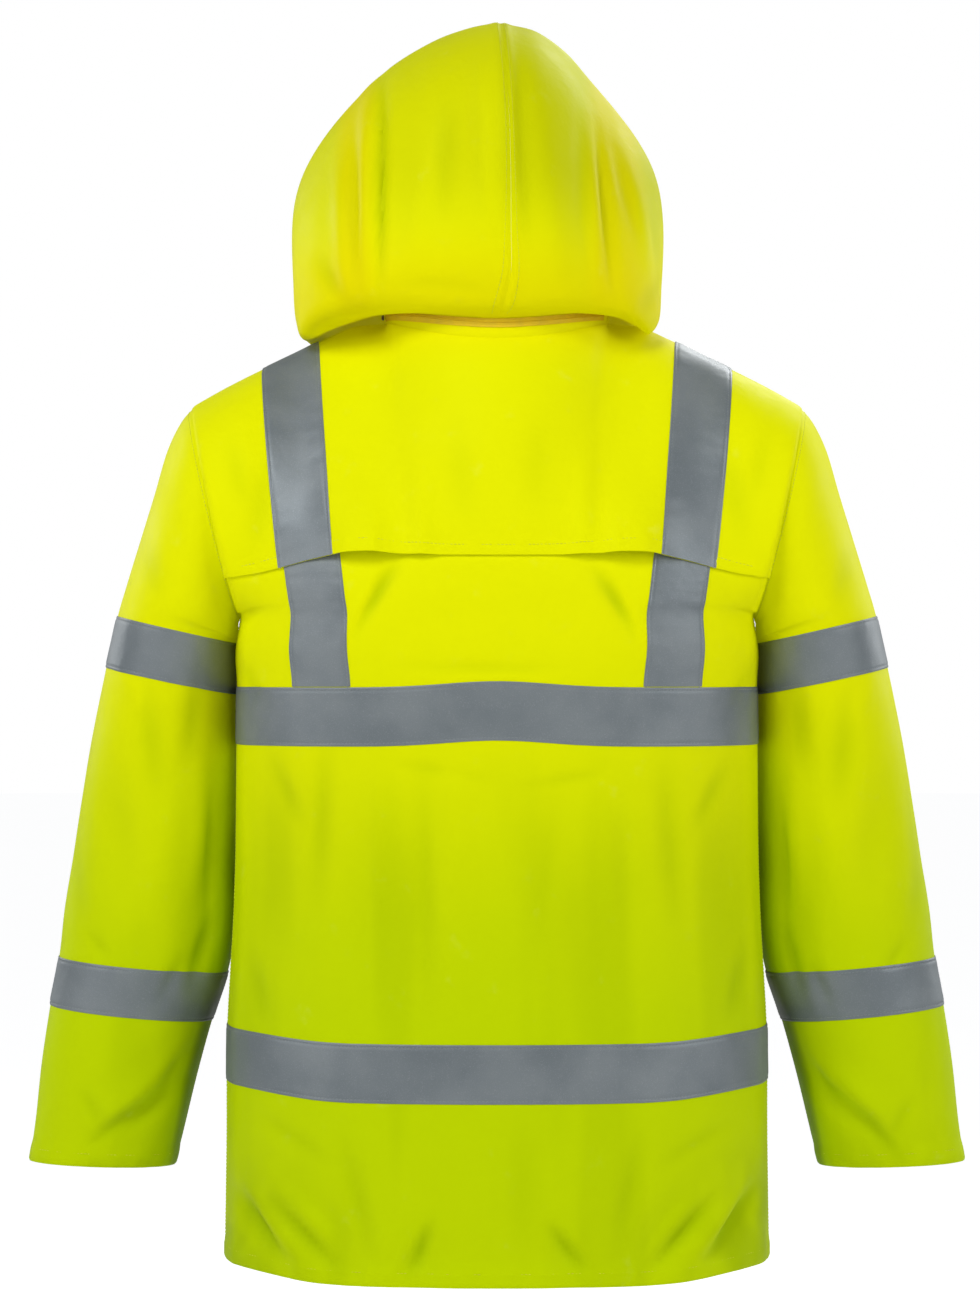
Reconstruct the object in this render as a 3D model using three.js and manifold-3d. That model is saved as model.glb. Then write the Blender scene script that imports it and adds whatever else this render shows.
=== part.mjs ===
// A hooded hi-vis work jacket in the shape it takes when worn, with nobody in it.
// Millimetres, +Z up. The front faces -Y and the left sleeve is on +X.
// The origin is the middle of the neck opening, where the shoulders hold the jacket.
// Every form below is the outside of the cloth. Walls grow inwards from it, and the tapes stand on it.
import * as THREE from "three";
import { mergeVertices } from "three/addons/utils/BufferGeometryUtils.js";
import Module from "manifold-3d";

const CLOTH = 1.6; // wall of the coated cloth
const SEAM = 0.2; // each piece stops this far short of its seam line
const LIFT = 0.3; // clearance under what lies on the cloth
const SLID_LIFT = 0.8; // the same under a tape that crosses the facets of the cloth
const TAPE = 0.9; // thickness of the reflective tape
const HEM_STEP = 0.7; // how far a turned-up hem stands out
const BACK = 1;
const FRONT = -1;

// Heights of the body, from the hem up to the underarm.
const HEM_Z = -812;
const HEM_FOLD_Z = -796;
const HEM_TAPE = { low: -657, high: -607 };
const SIDE_RISE = { up: 8, share: 0.55, fromZ: -520, toZ: -640 }; // the hem is cut higher at the side seams
const CHEST_TAPE = { low: -355, high: -305 };
const UNDERARM_Z = -244;
const LINE_SPREAD = 4; // how far the lines of the cut lean outwards above the chest tape
const BODY_HEIGHTS = [
  HEM_Z, HEM_FOLD_Z, -752, -704, HEM_TAPE.low, HEM_TAPE.high, -560, -508, -456, -405,
  CHEST_TAPE.low, CHEST_TAPE.high, -274, UNDERARM_Z,
];

// Level sections of the body: half width, reach to the back and front, and how square the oval is.
const BODY_SECTIONS = [
  { z: -812, half: 239, back: 141, front: 139, square: 2.35 },
  { z: -700, half: 237.5, back: 139, front: 139, square: 2.35 },
  { z: -612, half: 237, back: 138, front: 140, square: 2.35 },
  { z: -480, half: 230.5, back: 136, front: 142, square: 2.4 },
  { z: -355, half: 229, back: 139, front: 143, square: 2.6 },
  { z: -300, half: 228.5, back: 141, front: 142, square: 2.8 },
  { z: -244, half: 226, back: 142, front: 140, square: 3.0 },
];

// Lines of the cut across half a panel: share of the half width, and where the line meets the shoulder.
// The first lines end on the neck, at a turn round it, and the others on the shoulder ridge.
const PANEL_LINES = [
  { share: 0, neckTurn: 0 },
  { share: 0.09, neckTurn: 18 },
  { share: 0.18, neckTurn: 36 },
  { share: 0.265, neckTurn: 54 },
  { share: 0.345, neckTurn: 72 },
  { share: 0.42, neckTurn: 90 },
  { share: 0.48, ridgeX: 126 },
  { share: 0.543, ridgeX: 151 },
  { share: 0.652, ridgeX: 176 },
  { share: 0.762, ridgeX: 201 },
  { share: 0.85, ridgeX: 220 },
  { share: 0.92, ridgeX: 237 },
  { share: 0.968, ridgeX: 253 },
  { share: 1, ridgeX: 266 },
];
const BRACE = { inner: 7, outer: 9 }; // the lines that edge a shoulder tape
const YOKE_BRACE_SLIDE = 0.2; // the tape on the yoke stands this share of a line's spacing further out

// The shoulder ridge, from the neck to the shoulder point.
const RIDGE = [
  { x: 98, z: 13 },
  { x: 134, z: 8 },
  { x: 157, z: -4 },
  { x: 207, z: -28 },
  { x: 240, z: -45 },
  { x: 266, z: -60 },
];
const RIDGE_REACH = 52; // how far the crest stays level on each side of the ridge
const RIDGE_DROP = 7;

// Handles of a line's curve over the shoulder: at the underarm, as shares of the way up, and at the neck.
const LOW_HANDLE = { out: 0.5, deep: 5, rise: 0.38 };
const TOP_HANDLE_OUT = 0.05;
const NECK_HANDLE = { backReach: 30, backDrop: 62, frontReach: 16, frontDrop: 66 };
// Where along the half width the curves turn from the neck's to the ridge's, and then to the armhole's.
const TOWARDS_RIDGE = { from: 0.2, to: 0.6 };
const TOWARDS_ARMHOLE = { from: 0.8, depthFrom: 0.6 };
const CHEST_RISE = { height: 5.5, halfWidth: 62, near: 20, far: 90 }; // the chest tape's rise at the back

const ARMHOLE_LEAN = 0.7; // how far the edge at the armhole leans out along the armhole's axis
const FLAP_TURN = 0.27; // where the yoke's lower edge meets the armhole
const ROWS_UNDER_FLAP = 3;
const ROWS_OVER_FLAP = 8;

// The neck seam, an oval that dips at the front.
const NECK = { half: 98, middleY: -5, back: 89, front: 90, backZ: -6, sideZ: 13, frontZ: -62 };
const NECK_DIP = 1.6;
const NECK_EASE = { from: 0.3, to: 0.5, passes: 4 }; // the lines that are evened out beside the neck
const NECK_EDGE_RISE = 0.7; // how far the edge at the neck leans up
const COLLAR_LEAN = 0.12;
const COLLAR_HEIGHT = { back: 42, front: 48 };
const COLLAR_ROWS = [0, 0.35, 0.7, 1]; // shares of the collar's height

// The yoke: a cape over the back from the neck to a free lower edge.
const YOKE_CLOTH = 1.3;
const YOKE_LIFT = 0.7;
const FLAP_Z = { middle: -193, side: -211 };
const FLAP_OPEN = 6.5; // how far the free edge stands off the back at its widest
const FLAP_FADE_ROWS = 3;
const FLAP_SHAPE = { least: 0.42, widest: 0.47, spread: 0.17, endFrom: 0.8, endTo: 1.04 };

// The front closes with a zip.
const ZIP = { half: 6.7, gap: 0.3, chainHalf: 3, chainSlope: 0.2, chainProud: 1.6, tapeProud: 0.2 };
// Its slider and the slider's bridge, in the slider's own frame, and the pull tab.
const SLIDER = { width: 10, neck: 7, height: 17, shoulder: 3, thick: 2.2, fromTop: 14, gap: 0.3 };
const BRIDGE = { width: 2.4, thick: 1.2, rise: 4.4, half: 5.2, slope: 2.2, knee: 2.4, sunk: 0.4 };
const PULL_REST = 4; // degrees the pull stands off upright, as it lies on the zip
const PULL = { width: 8, endWidth: 6.4, length: 34, thick: 1.8, round: 3, bar: 1.8 };
const PULL_EYE = { width: 4.4, length: 7.5 };
const CURVE_STEPS = 4;

// Sleeve rings, from the armhole to the cuff: outermost and innermost points, half depth, and middle.
const SLEEVE_RINGS = [
  { outX: 266, outZ: -60, inX: 226, inZ: UNDERARM_Z, depth: 97, y: 0 },
  { outX: 277, outZ: -73, inX: 227, inZ: -247, depth: 97, y: 0 },
  { outX: 289, outZ: -98, inX: 228.2, inZ: -250.5, depth: 96, y: 0 },
  { outX: 301, outZ: -138, inX: 229.4, inZ: -254.5, depth: 94.5, y: -2 },
  { outX: 315, outZ: -182, inX: 230.2, inZ: -258.5, depth: 92, y: -5 },
  { outX: 326, outZ: -217, inX: 230.5, inZ: -262.5, depth: 90, y: -8 },
  { outX: 334, outZ: -243, inX: 230.8, inZ: -267, depth: 88, y: -12 },
  { outX: 345, outZ: -288, inX: 231.2, inZ: -312, depth: 85, y: -20 },
  { outX: 359, outZ: -352, inX: 230.8, inZ: -362, depth: 81, y: -29 },
  { outX: 369, outZ: -408, inX: 230.5, inZ: -415, depth: 77, y: -36 },
  { outX: 377, outZ: -456, inX: 230.5, inZ: -462, depth: 74, y: -41 },
  { outX: 385, outZ: -503, inX: 231.5, inZ: -512, depth: 71, y: -45 },
  { outX: 390, outZ: -545, inX: 240, inZ: -559, depth: 67, y: -47 },
  { outX: 398, outZ: -588, inX: 254, inZ: -602, depth: 63, y: -48 },
  { outX: 406, outZ: -640, inX: 267, inZ: -649, depth: 57, y: -49 },
  { outX: 411, outZ: -686, inX: 278, inZ: -694, depth: 50, y: -50 },
  { outX: 414.5, outZ: -712, inX: 283.5, inZ: -717, depth: 46, y: -50 },
  { outX: 417, outZ: -727, inX: 287.5, inZ: -731, depth: 43.5, y: -50 },
];
const ARMHOLE = SLEEVE_RINGS[0]; // a flat loop from the underarm to the shoulder point
const UPPER_SLEEVE_TAPE = { from: 6, to: 7 };
const LOWER_SLEEVE_TAPE = { from: 12, to: 13 };
const CUFF_FOLD_RING = 16;

// Hood ribs, from the neck seam over the crown to the brim. Each crosses the centre seam at (y, z), is widest
// at (half, sideY, sideZ) and ends at the corner. arch is how pointed it is on top (2 is an oval).
const HOOD_RIBS = [
  { y: 86, z: 12, half: 97, sideY: 19, sideZ: 20, arch: 2 },
  { y: 101, z: 23, half: 129, sideY: 30, sideZ: 9, arch: 2 },
  { y: 113, z: 50, half: 150, sideY: 33, sideZ: -1, arch: 1.7 },
  { y: 121, z: 84, half: 159, sideY: 23, sideZ: 18, arch: 1.45 },
  { y: 122, z: 122, half: 162, sideY: 8, sideZ: 54, arch: 1.3 },
  { y: 114, z: 164, half: 164, sideY: -10, sideZ: 89, arch: 1.22 },
  { y: 94, z: 206, half: 164, sideY: -27, sideZ: 111, arch: 1.2 },
  { y: 60, z: 243, half: 162, sideY: -44, sideZ: 127, arch: 1.2 },
  { y: 16, z: 269, half: 158, sideY: -60, sideZ: 137, arch: 1.2 },
  { y: -32, z: 278, half: 151, sideY: -75, sideZ: 141, arch: 1.22 },
  { y: -76, z: 272, half: 143, sideY: -87, sideZ: 142, arch: 1.28 },
  { y: -104, z: 261, half: 136, sideY: -94, sideZ: 140, arch: 1.35 },
  { y: -118, z: 254, half: 132, sideY: -98, sideZ: 139, arch: 1.38 },
];
const HOOD_FRONT_TURN = 149; // how far round the neck each half reaches
const HOOD_SEAM_HEIGHT = { back: 18, side: 11, front: 20 };
const HOOD_ZIP = {
  proud: 1.9,
  rows: [
    { below: 8, proud: 1 },
    { below: 5.6, proud: 1 },
    { below: 5.2, proud: 1.9 },
    { below: 2, proud: 1.9 },
    { below: 1.6, proud: 1 },
    { below: 0.6, proud: 1 },
  ],
  slider: { length: 8.5, height: 5, thick: 2.4, below: 4.4 },
};
const HOOD_SEAM_OUT = 2.4; // the hood's outside stands this far off the collar
const HOOD_CORNER = { rise: 14, forward: 2 }; // the short front edge where every rib ends
const HOOD_ROUND = { crown: 1.8, side: 2.2 }; // 2 is an oval
const HOOD_MIDDLE = { y: -10, z: 100 };
// The hood sits askew: how far its sides, its centre seam and its peak stand to the left.
const HOOD_LEAN = { sides: 17, seam: -12, peak: -3, seamReach: 90, fromZ: 100, toZ: 275, curve: 2.2 };
// How much higher its crown stands at each place across.
const HOOD_CROWN = [
  { x: -160, up: 2 }, { x: -125, up: -3 }, { x: -95, up: -1 }, { x: -60, up: 6 },
  { x: -35, up: 9 }, { x: -5, up: 5 }, { x: 20, up: 10 }, { x: 50, up: 15 },
  { x: 75, up: 15 }, { x: 105, up: 11 }, { x: 135, up: 5 }, { x: 160, up: 2 },
];
const HOOD_CROWN_HEIGHT = { from: 110, to: 200 };
// The hood lies on the shoulders, which fall away from their crest to the back and front.
const HOOD_REST = { clear: 6.2, soft: 7, fall: 0.013 };
const HOOD_STEPS = 16;
const BRIM_RIB = 11;

const COLOURS = { cloth: 0xc8e000, tape: 0x7f8590, zip: 0xb7cc10, metal: 0x8a8c8e, dark: 0x33261a };
const FINISH = {
  cloth: { color: COLOURS.cloth, roughness: 0.55, metalness: 0 },
  tape: { color: COLOURS.tape, roughness: 0.4, metalness: 0.3 },
  zip: { color: COLOURS.zip, roughness: 0.5, metalness: 0 },
  metal: { color: COLOURS.metal, roughness: 0.35, metalness: 0.8 },
  dark: { color: COLOURS.dark, roughness: 0.45, metalness: 0.4 },
};

const wasm = await Module();
wasm.setup();

const radians = (degrees) => (degrees * Math.PI) / 180;
const ZIP_TURN = Math.asin((ZIP.half + ZIP.gap) / NECK.half) / radians(1); // from the middle of the front
const NECK_TURNS = PANEL_LINES.map((line) => line.neckTurn).filter((turn) => turn !== undefined);
const lerp = (a, b, t) => a + (b - a) * t;
const point = (x, y, z) => new THREE.Vector3(x, y, z);

function smooth(low, high, value) {
  const t = Math.min(1, Math.max(0, (value - low) / (high - low)));
  return t * t * (3 - 2 * t);
}

// Reads a table at a value between its rows, along a smooth curve through them.
function read(table, key, at, column) {
  const last = table.length - 1;
  const rising = table[last][key] > table[0][key];
  let i = 0;
  while (i < last - 1 && (rising ? table[i + 1][key] <= at : table[i + 1][key] >= at)) i += 1;
  const [before, a, b, after] = [i - 1, i, i + 1, i + 2].map((k) => table[Math.min(last, Math.max(0, k))]);
  const t = Math.min(1, Math.max(0, (at - a[key]) / (b[key] - a[key])));
  const slope = (p, q) => (q[column] - p[column]) / (q[key] - p[key] || 1);
  const span = b[key] - a[key];
  const startSlope = before === a ? slope(a, b) : slope(before, b);
  const endSlope = after === b ? slope(a, b) : slope(a, after);
  const t2 = t * t;
  const t3 = t2 * t;
  return (
    a[column] * (2 * t3 - 3 * t2 + 1) +
    startSlope * span * (t3 - 2 * t2 + t) +
    b[column] * (3 * t2 - 2 * t3) +
    endSlope * span * (t3 - t2)
  );
}

function bezier(points, t) {
  const s = 1 - t;
  const weights = [s * s * s, 3 * s * s * t, 3 * s * t * t, t * t * t];
  return points.reduce((sum, p, i) => sum.addScaledVector(p, weights[i]), point(0, 0, 0));
}

const FOLD_FACING = 1.4; // folds are full where the cloth faces back or front by more than 1 / this
// Soft folds: a ridge, or a trough where depth is negative, round (x, z) as seen from the back or the front.
// lean is in degrees from upright, towards +X at the top.
const BODY_FOLDS = [
  { side: BACK, x: 208, z: -766, lean: 38, length: 130, width: 18, depth: -6 },
  { side: BACK, x: 176, z: -770, lean: 34, length: 130, width: 20, depth: 5 },
  { side: BACK, x: 142, z: -775, lean: 28, length: 110, width: 18, depth: -5 },
  { side: BACK, x: 66, z: -790, lean: -18, length: 90, width: 18, depth: -4 },
  { side: BACK, x: -62, z: -790, lean: 20, length: 90, width: 18, depth: -4 },
  { side: BACK, x: -145, z: -772, lean: -28, length: 110, width: 18, depth: -5 },
  { side: BACK, x: -178, z: -768, lean: -34, length: 130, width: 20, depth: 5 },
  { side: BACK, x: -209, z: -764, lean: -38, length: 130, width: 18, depth: -6 },
  { side: BACK, x: 96, z: -500, lean: 4, length: 260, width: 34, depth: -4 },
  { side: BACK, x: -84, z: -520, lean: -3, length: 240, width: 32, depth: -4 },
  { side: BACK, x: 196, z: -450, lean: -6, length: 220, width: 24, depth: -4 },
  { side: BACK, x: -198, z: -470, lean: 6, length: 220, width: 24, depth: -4 },
  { side: FRONT, x: 190, z: -470, lean: -8, length: 260, width: 26, depth: -5 },
  { side: FRONT, x: -186, z: -450, lean: 9, length: 240, width: 26, depth: -5 },
  { side: FRONT, x: 96, z: -520, lean: -5, length: 300, width: 34, depth: -5 },
  { side: FRONT, x: -104, z: -500, lean: 6, length: 280, width: 34, depth: -5 },
  { side: FRONT, x: 150, z: -760, lean: -12, length: 120, width: 24, depth: 5 },
  { side: FRONT, x: -142, z: -765, lean: 14, length: 120, width: 24, depth: 5 },
  { side: FRONT, x: 60, z: -770, lean: -6, length: 110, width: 22, depth: -4 },
  { side: FRONT, x: -66, z: -768, lean: 8, length: 110, width: 22, depth: -4 },
];
const YOKE_FOLDS = [
  { side: BACK, x: 64, z: -170, lean: 2, length: 190, width: 14, depth: 3.6 },
  { side: BACK, x: -80, z: -170, lean: -2, length: 190, width: 14, depth: 3.6 },
  { side: BACK, x: 116, z: -190, lean: 0, length: 150, width: 20, depth: 2.6 },
  { side: BACK, x: -122, z: -190, lean: 0, length: 150, width: 20, depth: 2.6 },
];
const SLEEVE_FOLDS = [
  { side: BACK, x: 300, z: -672, lean: -52, length: 110, width: 12, depth: -5 },
  { side: BACK, x: 322, z: -640, lean: -46, length: 90, width: 12, depth: 3.5 },
  { side: BACK, x: 262, z: -500, lean: -4, length: 170, width: 14, depth: -5 },
  { side: BACK, x: 292, z: -450, lean: -10, length: 180, width: 18, depth: 3.5 },
  { side: BACK, x: 330, z: -430, lean: 10, length: 160, width: 16, depth: -3 },
  { side: FRONT, x: 300, z: -450, lean: -40, length: 110, width: 14, depth: -6 },
  { side: FRONT, x: 310, z: -480, lean: -34, length: 110, width: 14, depth: 4 },
  { side: FRONT, x: 296, z: -412, lean: -48, length: 110, width: 14, depth: 4 },
  { side: FRONT, x: 320, z: -650, lean: -30, length: 100, width: 14, depth: -4 },
];

function foldAt(folds, side, x, z) {
  let sum = 0;
  for (const f of folds) {
    if (f.side !== side) continue;
    const turn = radians(f.lean);
    const dx = x - f.x;
    const dz = z - f.z;
    const along = dx * Math.sin(turn) + dz * Math.cos(turn);
    const across = dx * Math.cos(turn) - dz * Math.sin(turn);
    if (Math.abs(along) > f.length / 2) continue;
    const fade = Math.cos((Math.PI * along) / f.length) ** 2;
    sum += f.depth * fade * Math.exp(-((across / f.width) ** 2));
  }
  return sum;
}

// The neck seam at a turn from the middle of the back, 0, round to the middle of the front, 180.
function neckAt(turn) {
  const a = radians(turn);
  const [s, c] = [Math.sin(a), Math.cos(a)];
  const y = NECK.middleY + (c > 0 ? NECK.back : NECK.front) * c;
  const backZ = lerp(NECK.backZ, NECK.sideZ, s * s);
  const frontZ = lerp(NECK.sideZ, NECK.frontZ, Math.abs(c) ** NECK_DIP);
  return point(NECK.half * s, y, c > 0 ? backZ : frontZ);
}

// Straight out from the neck, level with the ground.
const neckOut = (turn) => point(Math.sin(radians(turn)), Math.cos(radians(turn)), 0);

// The edge of the cloth at the neck seam leans between the shoulder and the collar.
const neckEdge = (turn) => neckOut(turn).add(point(0, 0, NECK_EDGE_RISE)).normalize();

function ridgeAt(x) {
  const out = (x - NECK.half) / (ARMHOLE.outX - NECK.half);
  return point(x, lerp(NECK.middleY, 0, out), read(RIDGE, "x", x, "z"));
}

function ridgeEdge(x) {
  const step = 2;
  const slope = (ridgeAt(x + step).z - ridgeAt(x - step).z) / (2 * step);
  return point(-slope, 0, 1).normalize();
}

// A ring of the sleeve, from its innermost point, 0, to its outermost point, 1, along the back or the front.
function ringAt(ring, side, t) {
  const rise = t * t * (3 - 2 * t);
  return point(
    lerp(ring.inX, ring.outX, rise),
    ring.y + side * ring.depth * 4 * t * (1 - t),
    lerp(ring.inZ, ring.outZ, rise),
  );
}

const armholeUp = point(ARMHOLE.outX - ARMHOLE.inX, 0, ARMHOLE.outZ - ARMHOLE.inZ).normalize();
const armholeOut = point(armholeUp.z, 0, -armholeUp.x);

// The edge of the cloth at the armhole, shared by the panels and the sleeve.
function armholeEdge(side, t) {
  const step = 0.001;
  const along = ringAt(ARMHOLE, side, t + step).sub(ringAt(ARMHOLE, side, t - step));
  const away = armholeOut.clone().cross(along).multiplyScalar(side);
  if (away.dot(ringAt(ARMHOLE, side, t).sub(ringAt(ARMHOLE, side, 0.5).setY(0))) < 0) away.negate();
  return away.normalize().addScaledVector(armholeOut, ARMHOLE_LEAN).normalize();
}

const armholeTurns = [];
for (let k = 0; k <= ROWS_UNDER_FLAP; k += 1) armholeTurns.push((FLAP_TURN * k) / ROWS_UNDER_FLAP);
for (let k = 1; k <= ROWS_OVER_FLAP; k += 1) armholeTurns.push(lerp(FLAP_TURN, 1, k / ROWS_OVER_FLAP));

const flapHeight = (share) => lerp(FLAP_Z.middle, FLAP_Z.side, smooth(0.5, 1, share));

// The tape round the chest rises a little at the middle of the back.
function chestRise(side, x, z) {
  if (side === FRONT) return 0;
  const { height, halfWidth, near, far } = CHEST_RISE;
  const beside = Math.abs(z - (CHEST_TAPE.low + CHEST_TAPE.high) / 2);
  return height * smooth(far, near, beside) * Math.exp(-((x / halfWidth) ** 2));
}

// A point of the body under the arms.
function bodyAt(side, share, z) {
  const half = read(BODY_SECTIONS, "z", z, "half");
  const reach = read(BODY_SECTIONS, "z", z, side === BACK ? "back" : "front");
  const square = read(BODY_SECTIONS, "z", z, "square");
  const spread = (LINE_SPREAD / half) * 4 * share * (1 - share) * smooth(CHEST_TAPE.high, UNDERARM_Z, z);
  const x = half * (share + spread);
  const y = side * reach * Math.max(0, 1 - (share + spread) ** square) ** (1 / square);
  const up = SIDE_RISE.up * smooth(SIDE_RISE.share, 1, share) * smooth(SIDE_RISE.fromZ, SIDE_RISE.toZ, z);
  return point(x, y, z + up + chestRise(side, x, z));
}

// Where a line of the cut meets the neck or the shoulder ridge. A line is a row of PANEL_LINES.
function lineTop(side, line) {
  if (line.neckTurn !== undefined) return neckAt(side === BACK ? line.neckTurn : 180 - line.neckTurn);
  return ridgeAt(line.ridgeX);
}

// The curve of one line of the cut from the underarm's height up to the neck or the ridge.
function lineCurve(side, line) {
  const low = bodyAt(side, line.share, UNDERARM_Z);
  const top = lineTop(side, line);
  const rise = top.z - low.z;
  const out = top.x - low.x;
  const towardsRidge = smooth(TOWARDS_RIDGE.from, TOWARDS_RIDGE.to, line.share);
  const neckReach = side === BACK ? NECK_HANDLE.backReach : NECK_HANDLE.frontReach;
  const neckDrop = side === BACK ? NECK_HANDLE.backDrop : NECK_HANDLE.frontDrop;
  const lowHandle = low.clone().add(
    point(LOW_HANDLE.out * out, side * LOW_HANDLE.deep, LOW_HANDLE.rise * rise),
  );
  const topHandle = top.clone().add(
    point(
      -TOP_HANDLE_OUT * out,
      side * lerp(neckReach, RIDGE_REACH, towardsRidge),
      -lerp(neckDrop, RIDGE_DROP, towardsRidge),
    ),
  );
  const deep = (side * ARMHOLE.depth * 4) / 3;
  towardsArmhole(lowHandle, point(ARMHOLE.inX, deep, ARMHOLE.inZ), line.share);
  towardsArmhole(topHandle, point(ARMHOLE.outX, deep, ARMHOLE.outZ), line.share);
  return [low, lowHandle, topHandle, top];
}

// Near the armhole a handle takes the armhole's own. Its depth changes over a wider stretch of the panel.
function towardsArmhole(handle, own, share) {
  const near = smooth(TOWARDS_ARMHOLE.from, 1, share);
  handle.set(
    lerp(handle.x, own.x, near),
    lerp(handle.y, own.y, smooth(TOWARDS_ARMHOLE.depthFrom, 1, share)),
    lerp(handle.z, own.z, near),
  );
}

// How far along its curve a line crosses the height of the yoke's lower edge.
function flapTurn(curve, share) {
  let [low, high] = [0, 1];
  for (let i = 0; i < 30; i += 1) {
    const middle = (low + high) / 2;
    if (bezier(curve, middle).z < flapHeight(share)) low = middle;
    else high = middle;
  }
  return low;
}

function shoulderRow(side, line, k) {
  const curve = lineCurve(side, line);
  const flap = flapTurn(curve, line.share);
  if (k <= ROWS_UNDER_FLAP) return bezier(curve, (flap * k) / ROWS_UNDER_FLAP);
  return bezier(curve, lerp(flap, 1, (k - ROWS_UNDER_FLAP) / ROWS_OVER_FLAP));
}

// Gives each point of a grid its direction out of the cloth, from its neighbours.
function withNormals(grid, outwardOf, ring = false) {
  const rows = grid.length;
  const columns = grid[0].length;
  const cells = grid.map((row, i) =>
    row.map((p, j) => {
      const up = grid[Math.min(rows - 1, i + 1)][j].clone().sub(grid[Math.max(0, i - 1)][j]);
      const next = ring ? (j + 1) % columns : Math.min(columns - 1, j + 1);
      const previous = ring ? (j + columns - 1) % columns : Math.max(0, j - 1);
      return { p, n: up.cross(row[next].clone().sub(row[previous])).normalize() };
    }),
  );
  const facing = cells.map((row, i) => row.reduce((sum, { p, n }) => sum + n.dot(outwardOf(p, i)), 0));
  if (facing.reduce((sum, part) => sum + part) < 0) for (const { n } of cells.flat()) n.negate();
  return cells;
}

// Moves a grid's points along their directions by the folds that cross them.
function pressFolds(cells, folds, side, hold = () => 1) {
  for (const [i, row] of cells.entries()) {
    for (const [j, cell] of row.entries()) {
      const facing = Math.min(1, Math.abs(cell.n.y) * FOLD_FACING);
      cell.p.addScaledVector(cell.n, foldAt(folds, side, cell.p.x, cell.p.z) * facing * hold(i, j));
    }
  }
  return cells;
}

const outFromAxis = (p) => point(p.x, p.y, 0);

// Evens out a row beside the neck, where the neck's edge turns into the shoulder ridge.
function easeRow(row, lines) {
  for (let pass = 0; pass < NECK_EASE.passes; pass++) {
    const before = row.map((p) => p.clone());
    for (const [j, { share }] of lines.entries()) {
      if (share < NECK_EASE.from || share > NECK_EASE.to) continue;
      const level = before[j - 1].clone().lerp(before[j + 1], 0.5);
      row[j].lerp(level, 0.5);
    }
  }
}

// A panel of the body over the right lines, from the hem to the neck. Lines are mirrored for negative shares.
function panelCells(side, lines) {
  const across = (pointOn) => lines.map((line) => mirrored(line, pointOn(line)));
  const bodyRows = BODY_HEIGHTS.slice(0, -1).map((z) => across((line) => bodyAt(side, line.share, z)));
  const shoulderRows = armholeTurns.map((_, k) => across((line) => shoulderRow(side, line, k)));
  for (const row of shoulderRows.slice(1, -1)) easeRow(row, lines);
  const cells = withNormals([...bodyRows, ...shoulderRows], outFromAxis);
  const first = bodyRows.length;
  for (const [j, line] of lines.entries()) {
    for (const [i, row] of cells.entries()) {
      const k = i - first;
      if (line.share === 1) trimSide(row[j], side, line, k);
      else if (k === armholeTurns.length - 1) trimTop(row[j], side, line);
    }
  }
  return pressFolds(cells, BODY_FOLDS, side, (i, j) => (lines[j].share === 1 || i >= first ? 0 : 1));
}

const mirrorX = (v) => point(-v.x, v.y, v.z);
const mirrored = (line, v) => (line.flip ? mirrorX(v) : v);

// Sets back a panel's edge at the side seam and the armhole.
function trimSide(cell, side, line, k) {
  const flip = line.flip ? -1 : 1;
  if (k < 0) {
    cell.p.y = side * SEAM;
    cell.n = point(flip, 0, 0);
    return;
  }
  const t = armholeTurns[k];
  cell.p = mirrored(line, ringAt(ARMHOLE, side, t).addScaledVector(armholeOut, -SEAM));
  cell.p.y += k === 0 || t === 1 ? side * SEAM : 0;
  cell.n = mirrored(line, armholeEdge(side, t));
}

// Sets back a panel's edge at the neck and at the shoulder ridge.
function trimTop(cell, side, line) {
  if (line.neckTurn !== undefined) {
    const turn = side === BACK ? line.neckTurn : 180 - line.neckTurn;
    cell.n = mirrored(line, neckEdge(turn));
    cell.p.z -= SEAM;
    if (line.neckTurn === 90) cell.p.y += side * SEAM;
    return;
  }
  cell.n = mirrored(line, ridgeEdge(line.ridgeX));
  cell.p.y += side * SEAM;
}

const flipped = (line) => ({ ...line, flip: true });
const bothHalves = (lines) => [...lines.slice(1).reverse().map(flipped), ...lines];

// Closes a grid of cells into a wall between two offsets, which are numbers or functions of row and column.
function wall(cells, low, high, ring = false) {
  const rows = cells.length;
  const columns = cells[0].length;
  const offset = (value, i, j) => (typeof value === "function" ? value(i, j) : value);
  const positions = [];
  for (const layer of [low, high]) {
    for (let i = 0; i < rows; i += 1) {
      for (let j = 0; j < columns; j += 1) {
        const { p, n } = cells[i][j];
        positions.push(...p.clone().addScaledVector(n, offset(layer, i, j)).toArray());
      }
    }
  }
  const at = (layer, i, j) => layer * rows * columns + i * columns + (j % columns);
  const faces = [];
  const quad = (a, b, c, d) => faces.push(a, b, c, a, c, d);
  const spans = ring ? columns : columns - 1;
  for (let i = 0; i + 1 < rows; i += 1) {
    for (let j = 0; j < spans; j += 1) {
      quad(at(1, i, j), at(1, i, j + 1), at(1, i + 1, j + 1), at(1, i + 1, j));
      quad(at(0, i, j), at(0, i + 1, j), at(0, i + 1, j + 1), at(0, i, j + 1));
    }
  }
  for (let j = 0; j < spans; j += 1) {
    quad(at(0, 0, j), at(0, 0, j + 1), at(1, 0, j + 1), at(1, 0, j));
    quad(at(0, rows - 1, j), at(1, rows - 1, j), at(1, rows - 1, j + 1), at(0, rows - 1, j + 1));
  }
  for (let i = 0; i + 1 < rows && !ring; i += 1) {
    quad(at(0, i, 0), at(1, i, 0), at(1, i + 1, 0), at(0, i + 1, 0));
    const j = columns - 1;
    quad(at(0, i, j), at(0, i + 1, j), at(1, i + 1, j), at(1, i, j));
  }
  return facingOut(positions, faces);
}

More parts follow.
